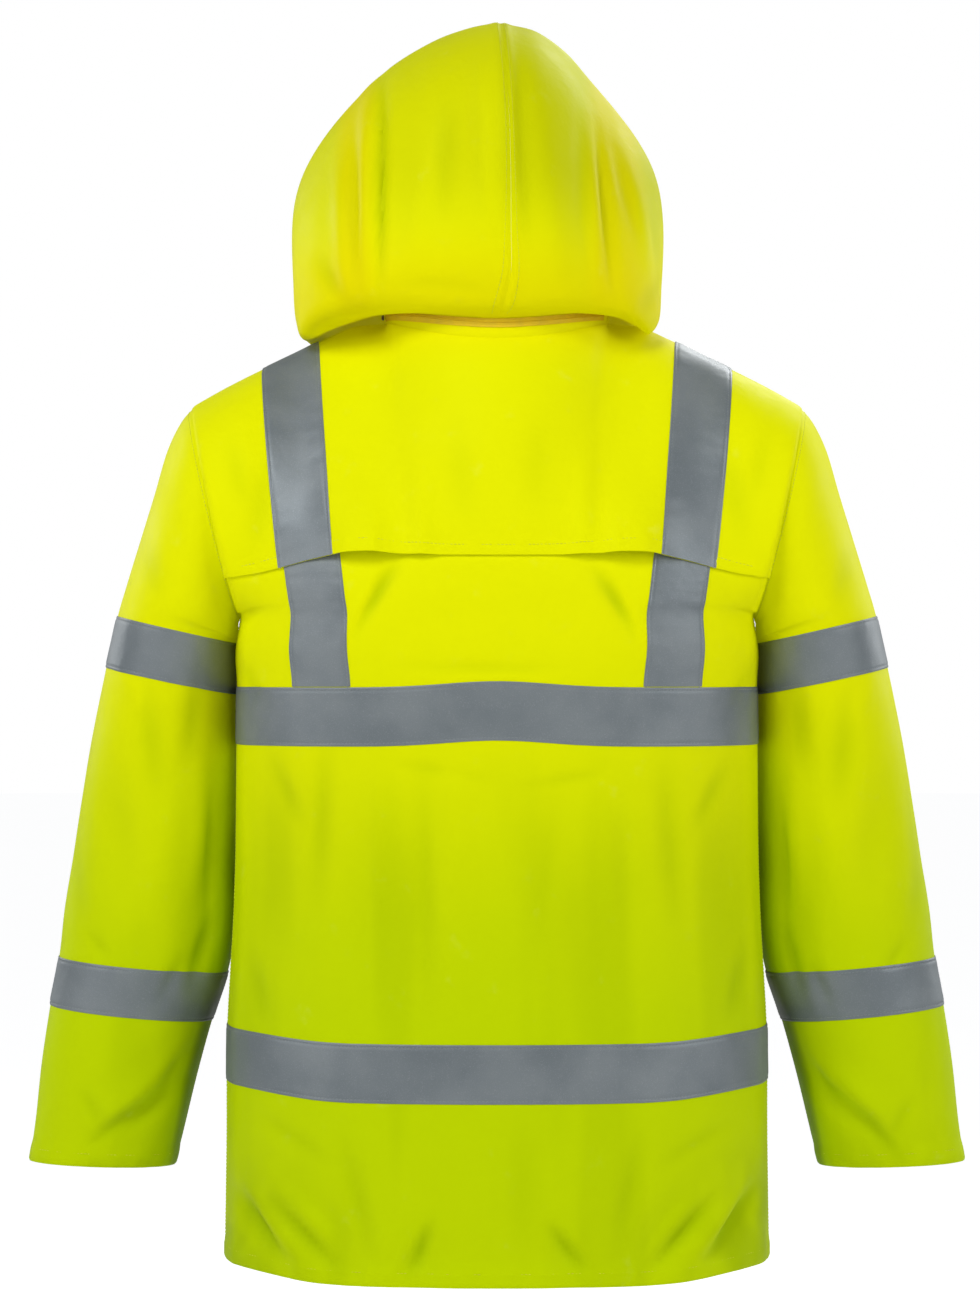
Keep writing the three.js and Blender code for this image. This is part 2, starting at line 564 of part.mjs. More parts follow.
// Turns every face round if the closed mesh came out inside out.
function facingOut(positions, faces) {
  const geometry = new THREE.BufferGeometry();
  geometry.setAttribute("position", new THREE.BufferAttribute(new Float32Array(positions), 3));
  const corner = (i) => point(positions[3 * i], positions[3 * i + 1], positions[3 * i + 2]);
  let volume = 0;
  for (let f = 0; f < faces.length; f += 3) {
    volume += corner(faces[f]).dot(corner(faces[f + 1]).cross(corner(faces[f + 2])));
  }
  if (volume < 0) faces.reverse();
  geometry.setIndex(faces);
  return geometry;
}

const jacket = new THREE.Group();

function addPiece(name, geometry, finish) {
  const mesh = new THREE.Mesh(geometry, new THREE.MeshStandardMaterial(FINISH[finish]));
  mesh.name = name;
  jacket.add(mesh);
  return mesh;
}

const cut = (cells, fromRow, toRow, fromColumn = 0, toColumn = cells[0].length - 1) =>
  cells.slice(fromRow, toRow + 1).map((row) => row.slice(fromColumn, toColumn + 1));

const rowOf = (z) => BODY_HEIGHTS.indexOf(z);
const FLAP_ROW = BODY_HEIGHTS.length - 1 + ROWS_UNDER_FLAP;
const TOP_ROW = BODY_HEIGHTS.length - 1 + ROWS_UNDER_FLAP + ROWS_OVER_FLAP;
const hemStep = (i) => (i <= rowOf(HEM_FOLD_Z) ? HEM_STEP * (1 - i) : 0);

// The back of the jacket, with its yoke and tapes.
function makeBack() {
  const lines = bothHalves(PANEL_LINES);
  const cells = panelCells(BACK, lines);
  addPiece("back", wall(cells, -CLOTH, hemStep), "cloth");

  const last = lines.length - 1;
  addTape("chest_tape_back", cut(cells, rowOf(CHEST_TAPE.low), rowOf(CHEST_TAPE.high)));
  addTape("hem_tape_back", cut(cells, rowOf(HEM_TAPE.low), rowOf(HEM_TAPE.high)));
  const middle = PANEL_LINES.length - 1;
  const under = cells.map((row, i) => (i === rowOf(CHEST_TAPE.high) ? row.map(raised) : row));
  const underRows = [rowOf(CHEST_TAPE.high), FLAP_ROW + 1];
  addTape("brace_back_left", cut(under, ...underRows, middle + BRACE.inner, middle + BRACE.outer));
  addTape("brace_back_right", cut(under, ...underRows, middle - BRACE.outer, middle - BRACE.inner));

  const yoke = pressFolds(
    cut(panelCells(BACK, lines), FLAP_ROW, TOP_ROW),
    YOKE_FOLDS,
    BACK,
    (i, j) => smooth(ROWS_OVER_FLAP, 2, i) * (j === 0 || j === last ? 0 : 1),
  );
  const lift = (i, j) => YOKE_LIFT + flapLift(lines[j].share) * smooth(FLAP_FADE_ROWS, 0, i);
  const outside = (i, j) => lift(i, j) + YOKE_CLOTH;
  addPiece("back_yoke", wall(yoke, lift, outside), "cloth");
  const moved = ({ p, n }, distance) => ({ p: p.clone().addScaledVector(n, distance), n });
  const outer = yoke.map((row, i) => row.map((cell, j) => moved(cell, outside(i, j))));
  addTape("brace_yoke_left", outer.map((row) => slidStrip(row, middle, 1)), SLID_LIFT);
  addTape("brace_yoke_right", outer.map((row) => slidStrip(row, middle, -1).reverse()), SLID_LIFT);
}

// The shoulder tape's strip of a row, slid outwards by part of the spacing of the lines.
function slidStrip(row, middle, direction) {
  const at = (line) => row[middle + direction * line];
  const between = (line) => ({
    p: at(line).p.clone().lerp(at(line + 1).p, YOKE_BRACE_SLIDE),
    n: at(line).n.clone().lerp(at(line + 1).n, YOKE_BRACE_SLIDE),
  });
  const inside = [];
  for (let line = BRACE.inner + 1; line <= BRACE.outer; line += 1) inside.push(at(line));
  return [between(BRACE.inner), ...inside, between(BRACE.outer)];
}

// Keeps the lower shoulder tape just clear of the tape round the chest.
const raised = ({ p, n }) => ({ p: p.clone().add(point(0, 0, 2 * SEAM)), n });

// How far the yoke's free edge stands off: widest between the middle and the shoulder tapes.
function flapLift(share) {
  const { least, widest, spread, endFrom, endTo } = FLAP_SHAPE;
  const near = Math.exp(-(((share - widest) / spread) ** 2));
  return FLAP_OPEN * lerp(least, 1, near) * smooth(endTo, endFrom, share);
}

function addTape(name, cells, lift = LIFT, ring = false) {
  addPiece(name, wall(cells, lift, lift + TAPE, ring), "tape");
}

// A front of the jacket, from the zip to the side seam, with its tapes.
function makeFront(name, flip) {
  const zipEdge = ZIP.half + ZIP.gap;
  const zipLine = { share: zipEdge / read(BODY_SECTIONS, "z", UNDERARM_Z, "half"), neckTurn: ZIP_TURN };
  const lines = [zipLine, ...PANEL_LINES.slice(1)].map((line) => (flip ? flipped(line) : line));
  const cells = panelCells(FRONT, lines);
  for (const row of cells) row[0].p.x = (flip ? -1 : 1) * zipEdge;
  for (const row of cells) row[0].n.setX(0).normalize();
  addPiece(`front_${name}`, wall(cells, -CLOTH, hemStep), "cloth");
  addTape(`chest_tape_front_${name}`, cut(cells, rowOf(CHEST_TAPE.low), rowOf(CHEST_TAPE.high)));
  addTape(`hem_tape_front_${name}`, cut(cells, rowOf(HEM_TAPE.low), rowOf(HEM_TAPE.high)));
  const over = cells.map((row, i) => (i === rowOf(CHEST_TAPE.high) ? row.map(raised) : row));
  addTape(`brace_front_${name}`, cut(over, rowOf(CHEST_TAPE.high), TOP_ROW, BRACE.inner, BRACE.outer));
  return cells;
}

// A sleeve: rings that start on the armhole and end at the cuff, with two tapes round it.
function makeSleeve(name, flip) {
  const backTurns = armholeTurns;
  const frontTurns = armholeTurns.slice(1, -1).reverse();
  const grid = SLEEVE_RINGS.map((ring) => [
    ...backTurns.map((t) => ringAt(ring, BACK, t)),
    ...frontTurns.map((t) => ringAt(ring, FRONT, t)),
  ]);
  const centres = SLEEVE_RINGS.map((ring) => ringAt(ring, BACK, 0.5).setY(ring.y));
  const cells = withNormals(grid, (p, i) => p.clone().sub(centres[i]), true);
  for (const [j, cell] of cells[0].entries()) {
    const side = j < backTurns.length ? BACK : FRONT;
    const t = side === BACK ? backTurns[j] : frontTurns[j - backTurns.length];
    cell.n = armholeEdge(side, t);
    cell.p.addScaledVector(armholeOut, SEAM);
  }
  const free = (i) => smooth(0, 3, i);
  for (const side of [BACK, FRONT]) {
    const half = cells.map((row) => row.filter((_, j) => (j < backTurns.length ? BACK : FRONT) === side));
    pressFolds(half, SLEEVE_FOLDS, side, free);
  }
  const turn = (v) => (flip ? mirrorX(v) : v);
  const turned = cells.map((row) => row.map(({ p, n }) => ({ p: turn(p), n: turn(n) })));
  const cuffStep = (i) => (i >= CUFF_FOLD_RING ? HEM_STEP * (i - CUFF_FOLD_RING) : 0);
  addPiece(`sleeve_${name}`, wall(turned, -CLOTH, cuffStep, true), "cloth");
  for (const [where, { from, to }] of [["upper", UPPER_SLEEVE_TAPE], ["lower", LOWER_SLEEVE_TAPE]]) {
    addTape(`${where}_sleeve_tape_${name}`, cut(turned, from, to), LIFT, true);
  }
}

// The outside of the collar, a height above the neck seam.
function collarAt(turn, height) {
  const p = neckAt(turn).addScaledVector(neckOut(turn), -COLLAR_LEAN * height);
  p.z += height;
  return p;
}

const collarHeight = (turn) => lerp(COLLAR_HEIGHT.back, COLLAR_HEIGHT.front, smooth(60, 180, turn));

function makeCollar() {
  const frontTurns = NECK_TURNS.slice(1, -1).reverse().map((turn) => 180 - turn);
  const turns = [...NECK_TURNS, ...frontTurns, 180 - ZIP_TURN];
  const around = [...turns.slice(1).reverse().map((turn) => -turn), ...turns];
  const grid = COLLAR_ROWS.map((share) => around.map((turn) => {
    const p = collarAt(Math.abs(turn), share * collarHeight(Math.abs(turn)));
    if (share === 0) p.z += SEAM;
    if (Math.abs(turn) === 180 - ZIP_TURN) p.x = ZIP.half + ZIP.gap;
    return turn < 0 ? mirrorX(p) : p;
  }));
  const cells = withNormals(grid, (p) => point(p.x, p.y - NECK.middleY, 0));
  for (const [j, turn] of around.entries()) {
    const edge = neckEdge(Math.abs(turn));
    cells[0][j].n = turn < 0 ? mirrorX(edge) : edge;
  }
  for (const row of cells) for (const end of [row[0], row[row.length - 1]]) end.n.setX(0).normalize();
  addPiece("collar", wall(cells, -CLOTH, 0), "cloth");
  return cells;
}

// How high above the neck seam the hood is sewn to the collar.
function hoodSeamHeight(turn) {
  const { back, side, front } = HOOD_SEAM_HEIGHT;
  if (turn < 90) return lerp(back, side, smooth(10, 90, turn));
  return lerp(side, front, smooth(90, HOOD_FRONT_TURN, turn));
}

const hoodBase = (turn) => collarAt(turn, hoodSeamHeight(turn)).addScaledVector(neckOut(turn), HOOD_SEAM_OUT);
const hoodCorner = hoodBase(HOOD_FRONT_TURN);

// A point of the hood. rib runs along HOOD_RIBS and turn from the centre seam, 0, to the front corner, 180.
function hoodAt(rib, turn) {
  const base = hoodBase(lerp(0, HOOD_FRONT_TURN, turn / 180));
  if (rib === 0) return base;
  const row = HOOD_RIBS[rib];
  const along = rib / (HOOD_RIBS.length - 1);
  const corner = hoodCorner.clone().add(point(0, -HOOD_CORNER.forward * along, HOOD_CORNER.rise * along));
  if (turn <= 90) {
    const across = Math.sin(radians(turn)) ** (2 / row.arch);
    const up = Math.max(0, Math.cos(radians(turn))) ** (2 / HOOD_ROUND.crown);
    return point(row.half * across, lerp(row.sideY, row.y, up), lerp(row.sideZ, row.z, up));
  }
  const s = Math.sin(radians(turn - 90));
  return point(
    lerp(corner.x, row.half, Math.sqrt(Math.max(0, 1 - s ** HOOD_ROUND.side))),
    lerp(row.sideY, corner.y, s),
    lerp(row.sideZ, corner.z, s),
  );
}

// Pushes the hood a little askew, as it hangs, where it is free of the collar and the corner.
function hoodLean(p, rib, turn) {
  const free = smooth(0, 2, rib) * smooth(180, 130, turn);
  const sideways = Math.min(1, Math.abs(p.x) / HOOD_LEAN.seamReach) ** 2;
  const high = Math.min(1, Math.max(0, (p.z - HOOD_LEAN.fromZ) / (HOOD_LEAN.toZ - HOOD_LEAN.fromZ)));
  const shift = lerp(HOOD_LEAN.seam, HOOD_LEAN.sides, sideways);
  const crown = smooth(HOOD_CROWN_HEIGHT.from, HOOD_CROWN_HEIGHT.to, p.z);
  p.x += free * lerp(shift, HOOD_LEAN.peak, high ** HOOD_LEAN.curve);
  p.z += free * crown * read(HOOD_CROWN, "x", p.x, "up");
  return p;
}

// Keeps a point of the hood above the shoulders.
function hoodOnShoulder(p) {
  const x = Math.max(NECK.half, Math.abs(p.x));
  const floor = read(RIDGE, "x", x, "z") - HOOD_REST.fall * p.y ** 2 + HOOD_REST.clear;
  const above = p.z - floor - HOOD_REST.soft;
  if (above < 0) p.z = floor + HOOD_REST.soft * Math.exp(above / HOOD_REST.soft);
  return p;
}

// The zip that holds the hood to the collar shows below the hood's edge, round the back of the neck.
function makeHoodZip() {
  const around = [...NECK_TURNS.slice(1, -1).reverse().map((turn) => -turn), ...NECK_TURNS];
  const cells = HOOD_ZIP.rows.map(({ below }) => around.map((turn) => {
    const p = collarAt(Math.abs(turn), hoodSeamHeight(Math.abs(turn)) - below);
    const n = neckOut(Math.abs(turn));
    return turn < 0 ? { p: mirrorX(p), n: mirrorX(n) } : { p, n };
  }));
  addPiece("hood_zip", wall(cells, LIFT, (i) => HOOD_ZIP.rows[i].proud), "zip");

  const { length, height, thick, below } = HOOD_ZIP.slider;
  const endTurn = 90;
  const slider = addPiece("hood_zip_slider", new THREE.BoxGeometry(thick, length, height), "dark");
  slider.position.copy(collarAt(endTurn, hoodSeamHeight(endTurn) - below));
  slider.position.addScaledVector(neckOut(endTurn), HOOD_ZIP.proud + LIFT + thick / 2);
}

function makeHood(name, flip) {
  const sign = flip ? -1 : 1;
  const ribs = HOOD_RIBS.map((_, i) => i);
  const turns = Array.from({ length: HOOD_STEPS + 1 }, (_, j) => (180 * j) / HOOD_STEPS);
  const grid = ribs.map((rib) => turns.map((turn) => {
    const p = hoodAt(rib, turn);
    p.x = sign * Math.max(SEAM, p.x);
    hoodLean(p, rib, turn);
    return rib > 0 && turn < 180 ? hoodOnShoulder(p) : p;
  }));
  const middle = point(0, HOOD_MIDDLE.y, HOOD_MIDDLE.z);
  const cells = withNormals(grid, (p) => p.clone().sub(middle));
  for (const row of cells) row[0].n.setX(0).normalize();
  for (const [j, turn] of turns.entries()) {
    const out = neckOut(lerp(0, HOOD_FRONT_TURN, turn / 180));
    cells[0][j].n = flip ? mirrorX(out) : out;
  }
  const brim = (i) => (i > BRIM_RIB ? HEM_STEP : 0);
  addPiece(`hood_${name}`, wall(cells, -CLOTH, brim), "cloth");
}

// The closed zip up the middle of the front: two tapes and the raised chain.
function makeZip(frontCells, collarCells) {
  const seam = frontCells.map((row) => row[0]);
  const collarEnd = collarCells.map((row) => row[row.length - 1]).slice(1);
  const across = [
    { x: -ZIP.half, proud: ZIP.tapeProud },
    { x: -ZIP.chainHalf - ZIP.chainSlope, proud: ZIP.tapeProud },
    { x: -ZIP.chainHalf, proud: ZIP.chainProud },
    { x: ZIP.chainHalf, proud: ZIP.chainProud },
    { x: ZIP.chainHalf + ZIP.chainSlope, proud: ZIP.tapeProud },
    { x: ZIP.half, proud: ZIP.tapeProud },
  ];
  const spine = [...seam, ...collarEnd];
  const cells = spine.map(({ p, n }) => across.map(({ x }) => ({ p: point(x, p.y, p.z), n })));
  addPiece("front_zip", wall(cells, -CLOTH, (_, j) => across[j].proud), "zip");
  return spine;
}

function toSolid(geometry) {
  const bare = geometry.index ? geometry.toNonIndexed() : geometry.clone();
  bare.deleteAttribute("normal");
  bare.deleteAttribute("uv");
  const merged = mergeVertices(bare, 1e-3);
  return new wasm.Manifold(
    new wasm.Mesh({
      numProp: 3,
      vertProperties: new Float32Array(merged.attributes.position.array),
      triVerts: new Uint32Array(merged.index.array),
    }),
  );
}

function toGeometry(solid) {
  const mesh = solid.getMesh();
  const geometry = new THREE.BufferGeometry();
  geometry.setAttribute("position", new THREE.BufferAttribute(new Float32Array(mesh.vertProperties), 3));
  geometry.setIndex(new THREE.BufferAttribute(new Uint32Array(mesh.triVerts), 1));
  return geometry;
}

function extruded(shape, depth) {
  return new THREE.ExtrudeGeometry(shape, { depth, bevelEnabled: false, curveSegments: CURVE_STEPS });
}

// The slider's plate. Its own frame has +Z up the zip and -Y out of the jacket.
function sliderBody() {
  const shape = new THREE.Shape();
  const [w, m, h] = [SLIDER.width / 2, SLIDER.neck / 2, SLIDER.height / 2];
  const shoulder = h - SLIDER.shoulder;
  shape.moveTo(-m, -h);
  shape.lineTo(m, -h);
  shape.quadraticCurveTo(w, 0, w, shoulder);
  shape.quadraticCurveTo(w, h, 0, h);
  shape.quadraticCurveTo(-w, h, -w, shoulder);
  shape.quadraticCurveTo(-w, 0, -m, -h);
  const plate = extruded(shape, SLIDER.thick);
  plate.rotateX(Math.PI / 2);
  return plate;
}

// Half the outline of the bridge seen from the side: out of the slider is first, along it is second.
function bridgeArch(half, reach) {
  const { sunk, knee, slope } = BRIDGE;
  return [
    [-sunk, -half], [knee, -half], [reach, -half + slope], [reach, half - slope], [knee, half], [-sunk, half],
  ];
}

// The bridge over the slider that the pull's bar turns under.
function sliderBridge() {
  const { width, thick, rise, half } = BRIDGE;
  const outline = [...bridgeArch(half, rise + thick), ...bridgeArch(half - thick, rise).reverse()];
  const side = new THREE.Shape(outline.map(([out, along]) => new THREE.Vector2(out, along)));
  const bridge = extruded(side, width);
  bridge.translate(0, 0, -width / 2);
  bridge.applyMatrix4(new THREE.Matrix4().makeBasis(point(0, -1, 0), point(0, 0, 1), point(-1, 0, 0)));
  bridge.translate(0, -SLIDER.thick, 0);
  return bridge;
}

// The pull tab, with an eye whose top bar turns under the bridge. Its frame is centred on that bar.
function pullTab() {
  const shape = new THREE.Shape();
  const [w, end, top] = [PULL.width / 2, PULL.endWidth / 2, PULL.bar / 2];
  const low = top - PULL.length;
  shape.moveTo(-w, top);
  shape.lineTo(w, top);
  shape.lineTo(end, low + PULL.round);
  shape.quadraticCurveTo(end, low, 0, low);
  shape.quadraticCurveTo(-end, low, -end, low + PULL.round);
  shape.closePath();
  const eye = new THREE.Path();
  const e = PULL_EYE.width / 2;
  eye.moveTo(-e, -PULL.bar / 2);
  eye.lineTo(-e, -PULL.bar / 2 - PULL_EYE.length);
  eye.lineTo(e, -PULL.bar / 2 - PULL_EYE.length);
  eye.lineTo(e, -PULL.bar / 2);
  eye.closePath();
  shape.holes.push(eye);
  const tab = extruded(shape, PULL.thick);
  tab.translate(0, 0, -PULL.thick / 2);
  tab.rotateX(Math.PI / 2);
  return tab;
}

function makeSlider(spine) {
  const topCell = spine[spine.length - 1];
  const lowCell = spine[spine.length - 2];
  const up = topCell.p.clone().sub(lowCell.p).setX(0).normalize();
  const outward = point(0, -up.z, up.y);
  const seat = topCell.p.clone().addScaledVector(up, -SLIDER.fromTop);
  seat.x = 0;
  seat.addScaledVector(outward, ZIP.chainProud + SLIDER.gap);
  const holder = new THREE.Group();
  holder.position.copy(seat);
  holder.rotation.x = Math.atan2(-outward.z, -outward.y);
  const body = toSolid(sliderBody()).add(toSolid(sliderBridge()));
  const slider = new THREE.Mesh(toGeometry(body), new THREE.MeshStandardMaterial(FINISH.metal));
  slider.name = "zip_slider";
  holder.add(slider);
  jacket.add(holder);

  // The pull hangs from its bar and lies on the zip.
  holder.updateMatrixWorld(true);
  const bar = holder.localToWorld(point(0, -SLIDER.thick - BRIDGE.rise / 2, 0));
  const pull = addPiece("zip_pull", pullTab(), "metal");
  pull.position.copy(bar);
  pull.rotation.x = radians(-PULL_REST);
}

makeBack();
const leftFront = makeFront("left", false);
makeFront("right", true);
makeSleeve("left", false);
makeSleeve("right", true);
const collarCells = makeCollar();
makeHood("left", false);
makeHood("right", true);
makeHoodZip();
makeSlider(makeZip(leftFront, collarCells));

export default jacket;
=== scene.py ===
import logging
import math
from dataclasses import dataclass, field
from enum import Enum
from typing import Callable, NamedTuple, Sequence

import bmesh
import bpy
import numpy as np
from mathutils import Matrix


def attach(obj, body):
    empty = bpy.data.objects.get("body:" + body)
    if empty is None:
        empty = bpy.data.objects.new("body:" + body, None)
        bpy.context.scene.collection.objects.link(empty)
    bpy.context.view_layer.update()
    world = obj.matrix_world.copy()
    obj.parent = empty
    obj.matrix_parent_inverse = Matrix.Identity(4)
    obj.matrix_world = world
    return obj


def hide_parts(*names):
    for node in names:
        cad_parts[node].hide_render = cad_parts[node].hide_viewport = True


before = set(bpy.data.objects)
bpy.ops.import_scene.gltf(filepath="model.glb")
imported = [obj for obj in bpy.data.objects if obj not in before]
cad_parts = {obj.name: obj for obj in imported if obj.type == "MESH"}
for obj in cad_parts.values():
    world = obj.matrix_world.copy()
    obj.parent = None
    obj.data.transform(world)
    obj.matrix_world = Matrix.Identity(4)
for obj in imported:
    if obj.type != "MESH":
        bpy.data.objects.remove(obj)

log = logging.getLogger("jacket")

# The jacket's own sizes, in millimetres. +Z is up, the front faces -Y and the left sleeve is on +X.
MM = 0.001
BACK, FRONT = 1, -1
CLOTH = 1.3
YOKE_CLOTH = 1.1
SEAM = 0.03
BODY = "jacket"

UNDERARM_Z = -244
HEM_TAPE = (-657, -607)
CHEST_TAPE = (-355, -305)
LINE_SPREAD = 4
BODY_HEIGHTS = (-812, -796, -752, -704, -657, -607, -560, -508, -456, -405, -355, -305, -274, -244)


class Section(NamedTuple):
    """A level section of the body: half width, reach to the back and front, and how square it is."""

    z: float
    half: float
    back: float
    front: float
    square: float


BODY_SECTIONS = (
    Section(-812, 239, 141, 139, 2.35),
    Section(-700, 237.5, 139, 139, 2.35),
    Section(-612, 237, 138, 140, 2.35),
    Section(-480, 230.5, 136, 142, 2.4),
    Section(-355, 229, 139, 143, 2.6),
    Section(-300, 228.5, 141, 142, 2.8),
    Section(-274, 229.8, 142, 141, 2.9),
    Section(-244, 226, 142, 140, 3.0),
)


class Line(NamedTuple):
    """A line of the cut: share of the half width, where it meets the neck or ridge, and its side."""

    share: float
    neck_turn: float | None = None
    ridge_x: float | None = None
    flip: bool = False


PANEL_LINES = (
    Line(0, 0), Line(0.09, 18), Line(0.18, 36), Line(0.265, 54), Line(0.345, 72), Line(0.42, 90),
    Line(0.48, None, 126), Line(0.543, None, 151), Line(0.652, None, 176), Line(0.762, None, 201),
    Line(0.85, None, 220), Line(0.92, None, 237), Line(0.968, None, 253), Line(1, None, 266),
)
MIDDLE = len(PANEL_LINES) - 1
BRACE = (7, 9)
YOKE_BRACE_SLIDE = 0.2


class RidgePoint(NamedTuple):
    """A point of the shoulder ridge, from the neck to the shoulder point."""

    x: float
    z: float


RIDGE = (
    RidgePoint(98, 13), RidgePoint(134, 8), RidgePoint(157, -4),
    RidgePoint(207, -28), RidgePoint(240, -45), RidgePoint(266, -60),
)
RIDGE_REACH, RIDGE_DROP = 52, 7


class Ring(NamedTuple):
    """A ring of the sleeve: outermost and innermost points, half depth, and middle."""

    out_x: float
    out_z: float
    in_x: float
    in_z: float
    depth: float
    y: float


SLEEVE_RINGS = (
    Ring(266, -60, 226, -244, 97, 0), Ring(277, -73, 227, -247, 97, 0),
    Ring(289, -98, 228.2, -250.5, 96, 0), Ring(301, -138, 228.2, -254.5, 94.5, -2),
    Ring(315, -182, 228.6, -258.5, 92, -5), Ring(326, -217, 229, -262.5, 90, -8),
    Ring(334, -243, 229.6, -267, 88, -12), Ring(345, -288, 231.2, -312, 85, -20),
    Ring(359, -352, 230.8, -362, 81, -29), Ring(369, -408, 230.5, -415, 77, -36),
    Ring(377, -456, 230.5, -462, 74, -41), Ring(385, -503, 231.5, -512, 71, -45),
    Ring(390, -545, 240, -559, 67, -47), Ring(398, -588, 254, -602, 63, -48),
    Ring(406, -640, 267, -649, 57, -49), Ring(411, -686, 278, -694, 50, -50),
    Ring(414.5, -712, 283.5, -717, 46, -50), Ring(417, -727, 287.5, -731, 43.5, -50),
)
ARMHOLE = SLEEVE_RINGS[0]
ARMHOLE_LEAN = 0.7
UPPER_SLEEVE_TAPE, LOWER_SLEEVE_TAPE = (6, 7), (12, 13)
FLAP_TURN, ROWS_UNDER_FLAP, ROWS_OVER_FLAP = 0.27, 3, 8
FLAP_MIDDLE_Z, FLAP_SIDE_Z, FLAP_OPEN, FLAP_FADE_ROWS, YOKE_LIFT = -193, -211, 6.5, 3, 0.7
FIRST_SHOULDER_ROW = len(BODY_HEIGHTS) - 1
FLAP_ROW = FIRST_SHOULDER_ROW + ROWS_UNDER_FLAP
TOP_ROW = FLAP_ROW + ROWS_OVER_FLAP

NECK_HALF, NECK_MIDDLE_Y, NECK_BACK, NECK_FRONT = 98, -5, 89, 90
NECK_BACK_Z, NECK_SIDE_Z, NECK_FRONT_Z, NECK_DIP = -6, 13, -62, 1.6
COLLAR_LEAN, COLLAR_BACK, COLLAR_FRONT = 0.12, 42, 48
COLLAR_ROWS = (0, 0.35, 0.7, 1)
SIDE_RISE = 8  # the hem is cut higher at the side seams
ZIP_HALF, ZIP_GAP = 6.7, 0.3
ZIP_TURN = math.degrees(math.asin((ZIP_HALF + ZIP_GAP) / NECK_HALF))
NECK_TURNS = tuple(line.neck_turn for line in PANEL_LINES if line.neck_turn is not None)


class Rib(NamedTuple):
    """A rib of the hood: its place on the centre seam, its widest point, and how pointed its top is."""

    y: float
    z: float
    half: float
    side_y: float
    side_z: float
    arch: float


class Crown(NamedTuple):
    """How much higher the hood's crown stands at a place across."""

    x: float
    up: float


HOOD_RIBS = (
    Rib(86, 12, 97, 19, 20, 2), Rib(101, 23, 129, 30, 9, 2), Rib(113, 50, 150, 33, -1, 1.7),
    Rib(121, 84, 159, 23, 18, 1.45), Rib(122, 122, 162, 8, 54, 1.3), Rib(114, 164, 164, -10, 89, 1.22),
    Rib(94, 206, 164, -27, 111, 1.2), Rib(60, 243, 162, -44, 127, 1.2), Rib(16, 269, 158, -60, 137, 1.2),
    Rib(-32, 278, 151, -75, 141, 1.22), Rib(-76, 272, 143, -87, 142, 1.28),
    Rib(-104, 261, 136, -94, 140, 1.35), Rib(-118, 254, 132, -98, 139, 1.38),
)
HOOD_CROWN = (
    Crown(-160, 2), Crown(-125, -3), Crown(-95, -1), Crown(-60, 6), Crown(-35, 9), Crown(-5, 5),
    Crown(20, 10), Crown(50, 15), Crown(75, 15), Crown(105, 11), Crown(135, 5), Crown(160, 2),
)
HOOD_FRONT_TURN, HOOD_STEPS = 149, 16
HOOD_SEAM = (18, 11, 20)
HOOD_SEAM_OUT = 2.4


class Fold(NamedTuple):
    """A soft ridge, or a trough where depth is negative, round (x, z) as seen from the back or front."""

    side: int
    x: float
    z: float
    lean: float
    length: float
    width: float
    depth: float


BODY_FOLDS = (
    Fold(BACK, 208, -766, 38, 130, 18, -6), Fold(BACK, 176, -770, 34, 130, 20, 5),
    Fold(BACK, 142, -775, 28, 110, 18, -5), Fold(BACK, 66, -790, -18, 90, 18, -4),
    Fold(BACK, -62, -790, 20, 90, 18, -4), Fold(BACK, -145, -772, -28, 110, 18, -5),
    Fold(BACK, -178, -768, -34, 130, 20, 5), Fold(BACK, -209, -764, -38, 130, 18, -6),
    Fold(BACK, 96, -500, 4, 260, 34, -4), Fold(BACK, -84, -520, -3, 240, 32, -4),
    Fold(BACK, 196, -450, -6, 220, 24, -4), Fold(BACK, -198, -470, 6, 220, 24, -4),
    Fold(FRONT, 190, -470, -8, 260, 26, -5), Fold(FRONT, -186, -450, 9, 240, 26, -5),
    Fold(FRONT, 96, -520, -5, 300, 34, -5), Fold(FRONT, -104, -500, 6, 280, 34, -5),
    Fold(FRONT, 150, -760, -12, 120, 24, 5), Fold(FRONT, -142, -765, 14, 120, 24, 5),
    Fold(FRONT, 60, -770, -6, 110, 22, -4), Fold(FRONT, -66, -768, 8, 110, 22, -4),
)
YOKE_FOLDS = (
    Fold(BACK, 64, -172, 2, 200, 11, 4.6), Fold(BACK, -72, -172, -2, 200, 11, 4.6),
    Fold(BACK, 116, -190, 0, 150, 20, 2.6), Fold(BACK, -122, -190, 0, 150, 20, 2.6),
)
SLEEVE_FOLDS = (
    Fold(BACK, 300, -672, -48, 120, 9, -6.5), Fold(BACK, 322, -668, -50, 110, 11, 4.5),
    Fold(BACK, 262, -500, -4, 170, 14, -5), Fold(BACK, 292, -450, -10, 180, 18, 3.5),
    Fold(BACK, 330, -430, 10, 160, 16, -3), Fold(FRONT, 300, -450, -40, 110, 14, -6),
    Fold(FRONT, 310, -480, -34, 110, 14, 4), Fold(FRONT, 296, -412, -48, 110, 14, 4),
    Fold(FRONT, 320, -650, -30, 100, 14, -4),
)

